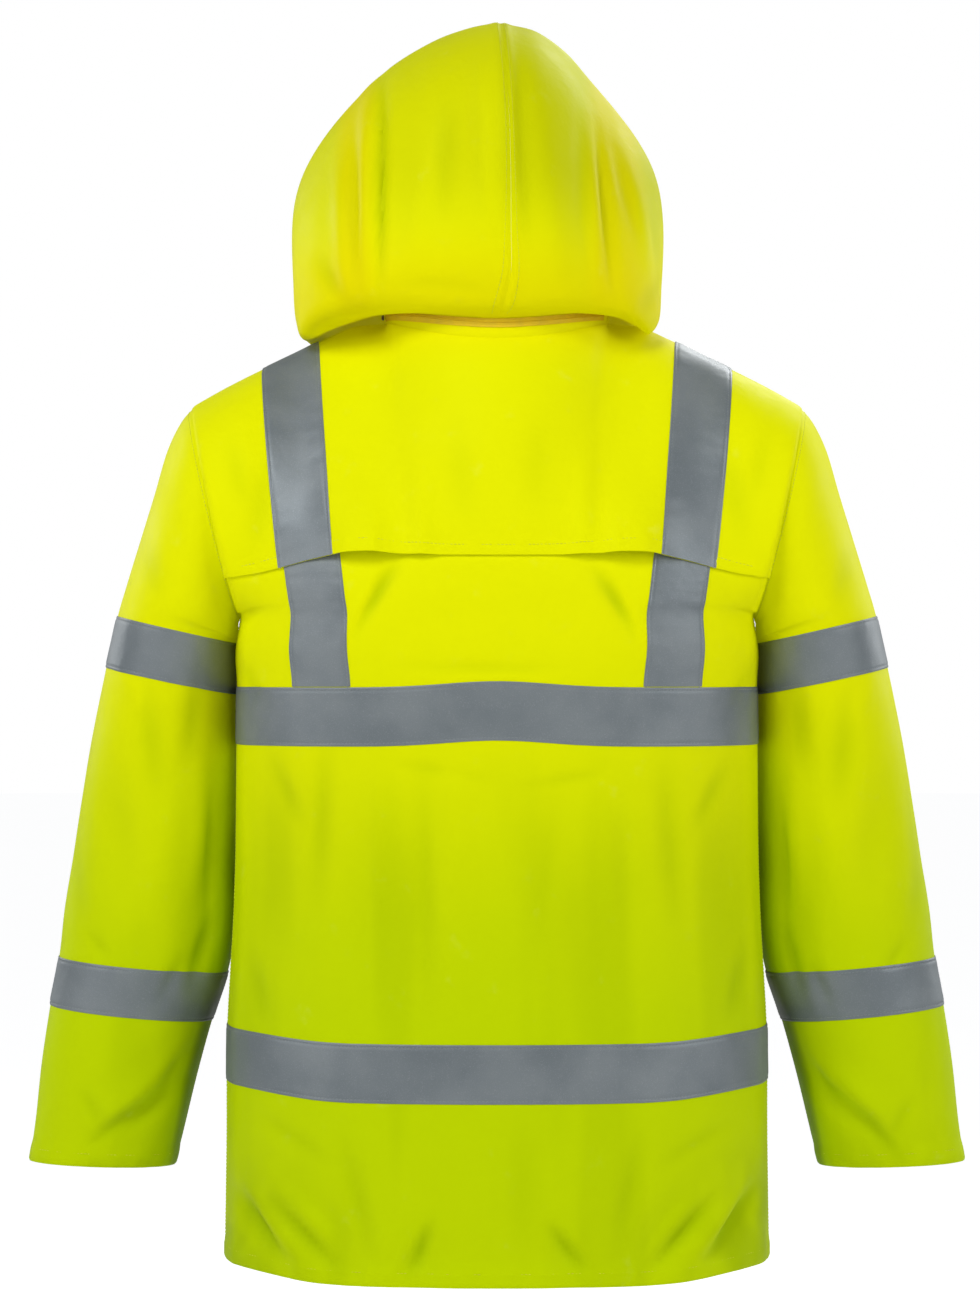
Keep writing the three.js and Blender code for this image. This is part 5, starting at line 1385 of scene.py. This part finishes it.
@dataclass
class Fronts:
    """The two fronts, from the zip to the side seams, with their tapes."""

    step: float = 4.6
    tape: TapeShape = field(default_factory=TapeShape)

    def build(self, sewing: Sewing) -> np.ndarray:
        """Makes both fronts.

        Args:
            sewing: Takes their stitches.

        Returns:
            The points and directions of the edge at the zip, from the hem to the neck.
        """
        self._front("right", True, sewing)
        return self._front("left", False, sewing)

    def _front(self, name: str, flip: bool, sewing: Sewing) -> np.ndarray:
        edge = ZIP_HALF + ZIP_GAP
        first = Line(edge / read(BODY_SECTIONS, "z", UNDERARM_Z, "half"), ZIP_TURN)
        lines = [line._replace(flip=flip) for line in (first, *PANEL_LINES[1:])]
        points, out = panel(FRONT, lines)
        points[:, 0, 0] = (-1 if flip else 1) * edge
        out[:, 0, 0] = 0
        out = unit(out)
        cut = Cut(points, out, BODY_FOLDS, BODY_CREASES, self._fold_hold, self._crease_hold)
        columns = dense_edges(cut, 1, 0, MIDDLE, self.step)
        rows = np.concatenate([HEM_ROWS, cut.lines(0, self.step, 1, TOP_ROW)[1:]])
        patch = cut.at(rows, columns)
        along, across = patch.along(0), patch.along(1)
        high = hem_profile(along, 16, 1.0, 8, across) + seam_dip(across[:, -1:] - across)
        placket = 0.35 * (1 - smooth(8, 9.6, across)) - 0.25 * np.exp(-(((across - 7) / 1.0) ** 2))
        obj = wall(f"front_{name}_cloth", patch, high - CLOTH, high + placket)
        dress(obj, Finish.CLOTH, [f"front_{name}"], Flat(0.33, 0.86, 0.24))
        for tape, heights in (("chest", CHEST_TAPE), ("hem", HEM_TAPE)):
            row = BODY_HEIGHTS.index(heights[0])
            run = cut.lines(1, 5.0)
            obj = self.tape.lay(
                f"{tape}_tape_front_{name}_strip", cut, dense_edges(cut, 0, row, row + 1, 5.0), run, 0,
                sewing, "fronts",
            )
            dress(obj, Finish.TAPE, [f"{tape}_tape_front_{name}"], Flat(0.05, 0.31))
        rows = cut.lines(0, 4.0, BODY_HEIGHTS.index(CHEST_TAPE[1]) + 0.02, TOP_ROW - 0.03)
        across = dense_edges(cut, 1, BRACE[0], BRACE[1], 5.0)
        obj = self.tape.lay(f"brace_front_{name}_strip", cut, rows, across, 1, sewing, "fronts")
        dress(obj, Finish.TAPE, [f"brace_front_{name}"], Flat(0.05, 0.355))
        hem = cut.at([cut.beside(0, 0, 13.4)], cut.lines(1, 5.0)).moved(0.65)
        sewing.run("fronts", Finish.THREAD, hem.p)
        zip_run = cut.at(cut.lines(0, 5.0), [cut.beside(1, 0, 7.0)]).moved(0.25)
        sewing.run("fronts", Finish.THREAD, zip_run.p)
        ridge = cut.at([cut.beside(0, TOP_ROW, -3.0)], cut.lines(1, 4.0, 6, MIDDLE)).moved(0.1)
        sewing.run("fronts", Finish.THREAD, ridge.p)
        return np.stack([points[:, 0], out[:, 0]])

    @staticmethod
    def _fold_hold(rows: np.ndarray, columns: np.ndarray) -> np.ndarray:
        return smooth(FIRST_SHOULDER_ROW, FIRST_SHOULDER_ROW - 1, rows) * smooth(MIDDLE, MIDDLE - 1, columns)

    @staticmethod
    def _crease_hold(rows: np.ndarray, columns: np.ndarray) -> np.ndarray:
        inside = smooth(0, 1, columns) * smooth(MIDDLE, MIDDLE - 1.2, columns)
        return inside * smooth(TOP_ROW, TOP_ROW - 3, rows)


@dataclass
class Sleeves:
    """The two sleeves, with their tapes and turned cuffs."""

    step: float = 4.6
    cuff: float = 15.2
    tape: TapeShape = field(default_factory=TapeShape)

    def build(self, sewing: Sewing) -> None:
        """Makes both sleeves."""
        self._sleeve("left", False, sewing)
        self._sleeve("right", True, sewing)

    def _sleeve(self, name: str, flip: bool, sewing: Sewing) -> None:
        back = list(ARMHOLE_TURNS)
        front = back[1:-1][::-1]
        sides = [(BACK, t) for t in back] + [(FRONT, t) for t in front]
        points = np.array([[ring_at(ring, side, t) for side, t in sides] for ring in SLEEVE_RINGS])
        centres = np.array([ring_at(ring, BACK, 0.5) for ring in SLEEVE_RINGS])
        centres[:, 1] = [ring.y for ring in SLEEVE_RINGS]
        out = outward(points, points - centres[:, None], True)
        out[0] = [armhole_edge(side, t) for side, t in sides]
        points[0] += SEAM * ARMHOLE_OUT
        if flip:
            points, out = mirror_x(points), mirror_x(out)
        creases = SLEEVE_CREASES
        if flip:
            creases = tuple(f._replace(z=f.z - 9, lean=f.lean * 0.8) for f in creases)
        cut = Cut(points, out, SLEEVE_FOLDS, creases, self._hold, self._hold, ring=True, flip=flip)
        last = len(SLEEVE_RINGS) - 1
        columns = cut.lines(1, self.step)[:-1]
        start = [0, 0.08, 0.18, 0.3]
        end = [16.2, 16.5, 16.8, 16.92, last]
        rows = np.concatenate([start, cut.lines(0, self.step, 0.45, 15.8), end])
        patch = cut.at(rows, columns)
        along = patch.along(0)
        high = hem_profile(along[-1] - along, self.cuff, 1.0, 13, patch.along(1)) + seam_dip(along)
        obj = wall(f"sleeve_{name}_cloth", patch, high - CLOTH, high, True)
        dress(obj, Finish.CLOTH, [f"sleeve_{name}"], Flat(0.54, 0.66, 0.27))
        for where, (first, end_row), flat in (
            ("upper", UPPER_SLEEVE_TAPE, Flat(0.05, 0.425)), ("lower", LOWER_SLEEVE_TAPE, Flat(0.05, 0.4)),
        ):
            obj = self.tape.lay(
                f"{where}_sleeve_tape_{name}_strip", cut, dense_edges(cut, 0, first, end_row, 5.0),
                columns, 0, sewing, "sleeves", ring=True,
            )
            dress(obj, Finish.TAPE, [f"{where}_sleeve_tape_{name}"], flat)
        around = np.append(columns, len(points[0]))
        for row, lift in ((cut.beside(0, last, -12.6), 0.6), (cut.beside(0, 0, 3.4), 0.1)):
            sewing.run("sleeves", Finish.THREAD, cut.at([row], around).moved(lift).p)

    @staticmethod
    def _hold(rows: np.ndarray, columns: np.ndarray) -> np.ndarray:
        return smooth(0, 3, rows) + 0 * columns


def collar_at(turn: float, height: float) -> np.ndarray:
    """The outside of the collar, a height above the neck seam."""
    return neck_at(turn) - COLLAR_LEAN * height * neck_out(turn) + np.array([0, 0, height])


def collar_height(turn: float) -> float:
    """How tall the collar is at a turn."""
    return float(mix(COLLAR_BACK, COLLAR_FRONT, smooth(60, 180, turn)))


@dataclass
class Collar:
    """The stand collar, open at the zip."""

    step: float = 4.0

    def build(self, sewing: Sewing) -> np.ndarray:
        """Makes the collar.

        Args:
            sewing: Takes its stitches.

        Returns:
            The points and directions of its left end, at the zip.
        """
        front = [180 - turn for turn in NECK_TURNS[1:-1][::-1]]
        turns = [*NECK_TURNS, *front, 180 - ZIP_TURN]
        around = [-turn for turn in turns[:0:-1]] + turns
        points = np.array([[self._place(share, turn) for turn in around] for share in COLLAR_ROWS])
        out = outward(points, (points - np.array([0, NECK_MIDDLE_Y, 0])) * np.array([1, 1, 0]))
        edges = [neck_edge(abs(turn)) for turn in around]
        out[0] = [mirror_x(e) if turn < 0 else e for e, turn in zip(edges, around)]
        out[:, (0, -1), 0] = 0
        cut = Cut(points, unit(out))
        rows = np.array([0, 0.06, 0.15, 0.35, 0.6, 0.9, 1.2, 1.5, 1.8, 2.1, 2.4, 2.6, 2.75, 2.88, 2.95, 3])
        patch = cut.at(rows, dense_edges(cut, 1, 0, len(around) - 1, self.step))
        along = patch.along(0)
        high = seam_dip(along, 0.6) - 0.35 * np.exp(-(((along[-1] - along - 6) / 1.1) ** 2))
        high = high + 0.25 * ripple(patch.along(1), 21) * smooth(0, 12, along)
        dress(wall("collar_cloth", patch, high - CLOTH, high), Finish.CLOTH, ["collar"], Flat(0.59, 0.048))
        top = cut.at([cut.beside(0, 3, -6.0)], cut.lines(1, 4.0)).moved(-0.1)
        sewing.run("collar", Finish.THREAD, top.p)
        return np.stack([points[1:, -1], cut.out[1:, -1]])

    @staticmethod
    def _place(share: float, turn: float) -> np.ndarray:
        p = collar_at(abs(turn), share * collar_height(abs(turn)))
        if share == 0:
            p[2] += SEAM
        if abs(turn) == 180 - ZIP_TURN:
            p[0] = ZIP_HALF + ZIP_GAP
        return mirror_x(p) if turn < 0 else p


def hood_seam_height(turn: float) -> float:
    """How high above the neck seam the hood is joined to the collar."""
    back, side, front = HOOD_SEAM
    if turn < 90:
        return float(mix(back, side, smooth(10, 90, turn)))
    return float(mix(side, front, smooth(90, HOOD_FRONT_TURN, turn)))


def hood_base(turn: float) -> np.ndarray:
    """The hood's lower edge on the collar."""
    return collar_at(turn, hood_seam_height(turn)) + HOOD_SEAM_OUT * neck_out(turn)


def hood_at(rib: int, turn: float) -> np.ndarray:
    """A point of the hood, on a rib, from the centre seam, 0, to the front corner, 180."""
    if rib == 0:
        return hood_base(mix(0, HOOD_FRONT_TURN, turn / 180))
    row = HOOD_RIBS[rib]
    along = rib / (len(HOOD_RIBS) - 1)
    corner = hood_base(HOOD_FRONT_TURN) + np.array([0, -2 * along, 14 * along])
    if turn <= 90:
        across = math.sin(math.radians(turn)) ** (2 / row.arch)
        up = max(0.0, math.cos(math.radians(turn))) ** (2 / 1.8)
        return np.array([row.half * across, mix(row.side_y, row.y, up), mix(row.side_z, row.z, up)])
    s = math.sin(math.radians(turn - 90))
    round_x = math.sqrt(max(0.0, 1 - s**2.2))
    return np.array([
        mix(corner[0], row.half, round_x), mix(row.side_y, corner[1], s), mix(row.side_z, corner[2], s)
    ])


@dataclass
class HoodForm:
    """How the worn hood sits: a little askew, and resting on the shoulders."""

    sides: float = 17
    seam: float = -12
    peak: float = -3
    seam_reach: float = 90
    from_z: float = 100
    to_z: float = 275
    curve: float = 2.2
    clear: float = 6.2
    soft: float = 7
    fall: float = 0.013

    def lean(self, p: np.ndarray, rib: int, turn: float) -> np.ndarray:
        """Pushes a point askew."""
        free = float(smooth(0, 2, rib) * smooth(180, 130, turn))
        sideways = min(1.0, abs(p[0]) / self.seam_reach) ** 2
        high = min(1.0, max(0.0, (p[2] - self.from_z) / (self.to_z - self.from_z)))
        shift = mix(self.seam, self.sides, sideways)
        crown = float(smooth(110, 200, p[2]))
        x = p[0] + free * mix(shift, self.peak, high**self.curve)
        return np.array([x, p[1], p[2] + free * crown * read(HOOD_CROWN, "x", x, "up")])

    def rest(self, p: np.ndarray) -> np.ndarray:
        """Keeps a point above the shoulders."""
        x = max(NECK_HALF, abs(p[0]))
        floor = read(RIDGE, "x", x, "z") - self.fall * p[1] ** 2 + self.clear
        above = p[2] - floor - self.soft
        if above < 0:
            p = np.array([p[0], p[1], floor + self.soft * math.exp(above / self.soft)])
        return p


@dataclass
class Hood:
    """The hood, in two halves joined along a centre seam."""

    step: float = 4.2
    form: HoodForm = field(default_factory=HoodForm)

    def build(self, sewing: Sewing) -> None:
        """Makes both halves."""
        self._half("left", 1, sewing)
        self._half("right", -1, sewing)

    def _half(self, name: str, sign: int, sewing: Sewing) -> None:
        turns = [180 * j / HOOD_STEPS for j in range(HOOD_STEPS + 1)]
        points = np.array([[self._place(rib, turn, sign) for turn in turns] for rib in range(len(HOOD_RIBS))])
        out = outward(points, points - np.array([0, -10, 100]))
        out[:, 0, 0] = 0
        out[0] = [neck_out(mix(0, HOOD_FRONT_TURN, turn / 180)) * np.array([sign, 1, 1]) for turn in turns]
        # The hood's broad folds are marked fully for painted shade.
        cut = Cut(points, unit(out), HOOD_FOLDS, (), self._hold, trough_shade=1.0)
        last = len(HOOD_RIBS) - 1
        columns = dense_edges(cut, 1, 0, HOOD_STEPS, self.step)
        start, end = [0, 0.06, 0.14, 0.25], [last - 0.4, last - 0.2, last - 0.05, last]
        rows = np.concatenate([start, cut.lines(0, self.step, 0.4, last - 0.6), end])
        patch = cut.at(rows, columns)
        along, across = patch.along(0), patch.along(1)
        turned = smooth(150, 110, columns * 180 / HOOD_STEPS)[None, :]
        brim = hem_profile(along[-1] - along, 22, 0.9, 17, across) * turned
        high = brim + seam_dip(across, 0.8, 2.2) + 0.5 * np.exp(-(((across - 5) / 3) ** 2))
        high = high * smooth(0, 0.5, rows)[:, None]
        obj = wall(f"hood_{name}_cloth", patch, high - CLOTH, high)
        dress(obj, Finish.CLOTH, [f"hood_{name}"], Flat(0.4, 0.4, 0.11))
        seam = cut.at(cut.lines(0, 4.0, 0.4, last - 0.1), [cut.beside(1, 0, 4.6)]).moved(0.4)
        sewing.run("hood", Finish.THREAD, seam.p)
        edge = cut.at([cut.beside(0, last, -19.4)], cut.lines(1, 4.0, 0.2, HOOD_STEPS * 0.72)).moved(0.5)
        sewing.run("hood", Finish.THREAD, edge.p)

    def _place(self, rib: int, turn: float, sign: int) -> np.ndarray:
        p = hood_at(rib, turn)
        p[0] = sign * max(SEAM, p[0])
        p = self.form.lean(p, rib, turn)
        return self.form.rest(p) if rib > 0 and turn < 180 else p

    @staticmethod
    def _hold(rows: np.ndarray, columns: np.ndarray) -> np.ndarray:
        ends = smooth(0.5, 3, rows) * smooth(len(HOOD_RIBS) - 1, len(HOOD_RIBS) - 3, rows)
        return ends * smooth(0, 1.5, columns) * smooth(HOOD_STEPS, HOOD_STEPS - 3, columns)


@dataclass
class HoodZip:
    """The zip that joins the hood to the collar, round the back of the neck, and its slider."""

    below: Sequence[float] = (8, 6.9, 5.7, 5.2, 4.4, 3.2, 2.2, 1.7, 0.9, 0.5)
    proud: Sequence[float] = (0.8, 0.8, 0.8, 1.2, 1.5, 1.5, 1.2, 0.8, 0.8, 0.8)
    slider: tuple = (8.5, 5.0, 2.4)

    def build(self) -> None:
        """Makes the zip's tape, its teeth and its slider."""
        around = np.arange(-72, 91, 3.0)
        p = np.array([[self._place(turn, below) for turn in around] for below in self.below])
        n = np.array([[self._out(turn) for turn in around] for _ in self.below])
        patch = Patch(p, n, np.zeros(p.shape[:2]))
        obj = wall("hood_zip_tape", patch, 0.2, np.array(self.proud)[:, None])
        # The tape and teeth are painted orange for the warm light in the shadow gap under the hood.
        dress(obj, Finish.WARM_SHADE_TAPE, ["hood_zip"], Flat(0.01, 0.28, 0.0022))
        teeth = Rows("hood_zip_teeth", Finish.WARM_SHADE_TAPE, Small.TOOTH, 1.5, 0.8, 1.0, 3.0, 3)
        fine = np.arange(-71, 84, 1.0)
        teeth.add(np.array([self._place(turn, 3.7) + 1.3 * self._out(turn) for turn in fine]))
        teeth.build()
        self._slider()

    @staticmethod
    def _place(turn: float, below: float) -> np.ndarray:
        p = collar_at(abs(turn), hood_seam_height(abs(turn)) - below)
        return mirror_x(p) if turn < 0 else p

    @staticmethod
    def _out(turn: float) -> np.ndarray:
        return mirror_x(neck_out(-turn)) if turn < 0 else neck_out(turn)

    def _slider(self) -> None:
        """A small domed slider, shaped like a shield, on the zip's left end."""
        length, height, thick = self.slider
        centre = self._place(90, 4.4) + np.array([1.9 + 0.3 + thick / 2, 0, 0])
        steps = np.linspace(0, math.tau, 24, endpoint=False)
        rings = []
        for x, size in ((-0.5, 0.8), (-0.38, 0.97), (0.1, 1.0), (0.36, 0.86), (0.5, 0.5)):
            y = np.sign(np.cos(steps)) * np.abs(np.cos(steps)) ** 0.6 * length / 2 * size
            narrower = 0.86 + 0.14 * np.cos(steps)
            z = np.sign(np.sin(steps)) * np.abs(np.sin(steps)) ** 0.6 * height / 2 * size * narrower
            rings.append(centre + np.stack([np.full(24, x * thick), y, z], axis=1))
        ends = [np.repeat(ring.mean(0)[None], 24, 0) for ring in (rings[0], rings[-1])]
        p = np.array([ends[0], *rings, ends[1]])
        rows, columns = p.shape[:2]
        at = np.arange(rows * columns).reshape(rows, columns)
        at = np.concatenate([at, at[:, :1]], axis=1)
        faces = np.stack([at[:-1, :-1], at[:-1, 1:], at[1:, 1:], at[1:, :-1]], axis=-1).reshape(-1, 4)
        flat = p.reshape(-1, 3)
        obj = to_mesh("hood_zip_slider_body", flat, faces, flat[:, 1:], np.zeros(len(flat)))
        weld(obj)
        dress(obj, Finish.DARK, ["hood_zip_slider"])


def weld(obj) -> None:
    """Joins points that lie in one place, which closes a form's two ends."""
    mesh = bmesh.new()
    mesh.from_mesh(obj.data)
    bmesh.ops.remove_doubles(mesh, verts=mesh.verts, dist=1e-6)
    bmesh.ops.recalc_face_normals(mesh, faces=mesh.faces)
    mesh.to_mesh(obj.data)
    mesh.free()


@dataclass
class FrontZip:
    """The closed zip up the middle of the front: two tapes and two rows of teeth."""

    across: Sequence[float] = (-12, -7.4, -6.8, -6.2, -4.2, -3.2, 3.2, 4.2, 6.2, 6.8, 7.4, 12)
    proud: Sequence[float] = (-1.6, -1.6, -0.3, 0.2, 0.2, 0.25, 0.25, 0.2, 0.2, -0.3, -1.6, -1.6)
    under: Sequence[float] = (-2.2, -2.2, -1.8, -1.3, -1.2, -1.2, -1.2, -1.2, -1.3, -1.8, -2.2, -2.2)
    pitch: float = 3.0

    def build(self, front: np.ndarray, collar: np.ndarray) -> None:
        """Makes the zip along the edges of the left front and the collar."""
        spine = np.concatenate([front, collar], axis=1)
        at = np.linspace(0, spine.shape[1] - 1, 260)
        points, out = between(spine[0], at), unit(between(spine[1], at))
        p = np.repeat(points[:, None], len(self.across), axis=1)
        p[..., 0] = self.across
        n = np.repeat(out[:, None], len(self.across), axis=1)
        n[..., 0] = 0
        patch = Patch(p, unit(n), np.zeros(p.shape[:2]))
        obj = wall("front_zip_tape", patch, np.array(self.under)[None, :], np.array(self.proud)[None, :])
        dress(obj, Finish.ZIP_TAPE, ["front_zip"], Flat(0.024, 0.83))
        for sign, start in ((-1, 0.0), (1, self.pitch / 2)):
            rows = Rows(f"front_zip_teeth_{'right' if sign < 0 else 'left'}", Finish.TEETH, Small.TOOTH,
                        self.pitch, 1.35, 3.4, 2.4, 5 + sign)
            line = points + 0.55 * out
            line[:, 0] = sign * 1.35
            line[:, 2] += start
            rows.add(line[:-3])
            rows.build()


@dataclass
class Hardware:
    """The front zip's slider and pull tab, which keep their solids' own shape."""

    nodes: Sequence[str] = ("zip_slider", "zip_pull")

    def build(self) -> None:
        """Gives them their metal."""
        for name in self.nodes:
            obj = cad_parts[name]
            for slot in obj.material_slots:
                slot.material = Finish.METAL.material
            log.info("%s: metal", name)


@dataclass
class Studio:
    """A pale floor, soft lights and the camera behind the jacket."""

    distance: float = 3.4
    height: float = -0.28
    floor: float = -1.45
    lens: float = 70.46
    shift: float = -0.0053

    def build(self) -> None:
        """Makes the camera, the floor and the lights."""
        camera = bpy.data.objects.new("camera", bpy.data.cameras.new("camera"))
        bpy.context.collection.objects.link(camera)
        camera.location = (0, self.distance, self.height)
        camera.rotation_euler = (math.pi / 2, 0, math.pi)
        camera.data.sensor_fit = "VERTICAL"
        camera.data.sensor_height = 24
        camera.data.lens = self.lens
        camera.data.shift_x = self.shift
        bpy.context.scene.camera = camera
        bpy.context.scene.view_settings.view_transform = "Standard"
        self._floor()
        self._world()
        self._light("key", (1.15, 2.8, 2.2), 54, 1.3)
        self._light("left", (2.6, 1.8, 0.5), 26, 1.6)
        self._light("right", (-2.6, 2.0, 0.6), 36, 1.6)
        self._light("front_key", (-1.5, -2.7, 2.2), 56, 1.3)
        self._light("front_left", (2.6, -2.0, 0.6), 22, 1.6)
        self._light("front_right", (-2.6, -1.8, 0.5), 24, 1.6)

    def _floor(self) -> None:
        mesh = bpy.data.meshes.new("floor")
        size, z = 30, self.floor
        corners = [(x * size, y * size, z) for x, y in ((-1, -1), (1, -1), (1, 1), (-1, 1))]
        mesh.from_pydata(corners, [], [(0, 1, 2, 3)])
        floor = bpy.data.objects.new("floor", mesh)
        bpy.context.collection.objects.link(floor)
        tree = Tree("pale_floor")
        place = tree.add("ShaderNodeTexCoord").outputs["Object"]
        base = tree.colours(tree.noise(place, 3.0), (0.8, 0.8, 0.8, 1), (0.84, 0.84, 0.84, 1))
        seen = tree.add("ShaderNodeLightPath").outputs["Is Camera Ray"]
        mesh.materials.append(tree.settle(
            Base_Color=base, Roughness=0.9, Emission_Color=(1, 1, 1, 1),
            Emission_Strength=tree.math("MULTIPLY", seen, 0.82),
        ))

    @staticmethod
    def _world() -> None:
        world = bpy.data.worlds.new("studio")
        bpy.context.scene.world = world
        world.use_nodes = True
        nodes, links = world.node_tree.nodes, world.node_tree.links
        seen, soft = nodes["Background"], nodes.new("ShaderNodeBackground")
        seen.inputs["Color"].default_value = (1, 1, 1, 1)
        seen.inputs["Strength"].default_value = 1.0
        soft.inputs["Color"].default_value = (0.95, 0.97, 1, 1)
        soft.inputs["Strength"].default_value = 0.2
        path, choose = nodes.new("ShaderNodeLightPath"), nodes.new("ShaderNodeMixShader")
        links.new(path.outputs["Is Camera Ray"], choose.inputs[0])
        links.new(soft.outputs[0], choose.inputs[1])
        links.new(seen.outputs[0], choose.inputs[2])
        links.new(choose.outputs[0], nodes["World Output"].inputs["Surface"])

    @staticmethod
    def _light(name: str, place: tuple, power: float, size: float) -> None:
        data = bpy.data.lights.new(name, "AREA")
        data.energy, data.size = power, size
        light = bpy.data.objects.new(name, data)
        bpy.context.collection.objects.link(light)
        light.location = place
        aim = np.array([0, 0, -0.25]) - np.array(place)
        flat = math.hypot(aim[0], aim[1])
        tilt, turn = math.atan2(aim[2], flat), math.atan2(aim[1], aim[0])
        light.rotation_euler = (math.pi / 2 + tilt, 0, turn - math.pi / 2)


def main() -> None:
    """Builds every piece of the jacket in order."""
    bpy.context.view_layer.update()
    Studio().build()
    sewing = Sewing()
    BackPanel().build(sewing)
    Yoke().build(sewing)
    front_edge = Fronts().build(sewing)
    Sleeves().build(sewing)
    collar_end = Collar().build(sewing)
    Hood().build(sewing)
    HoodZip().build()
    FrontZip().build(front_edge, collar_end)
    Hardware().build()
    sewing.build()


if __name__ == "__main__":
    logging.basicConfig(level=logging.INFO, format="%(message)s")
    main()
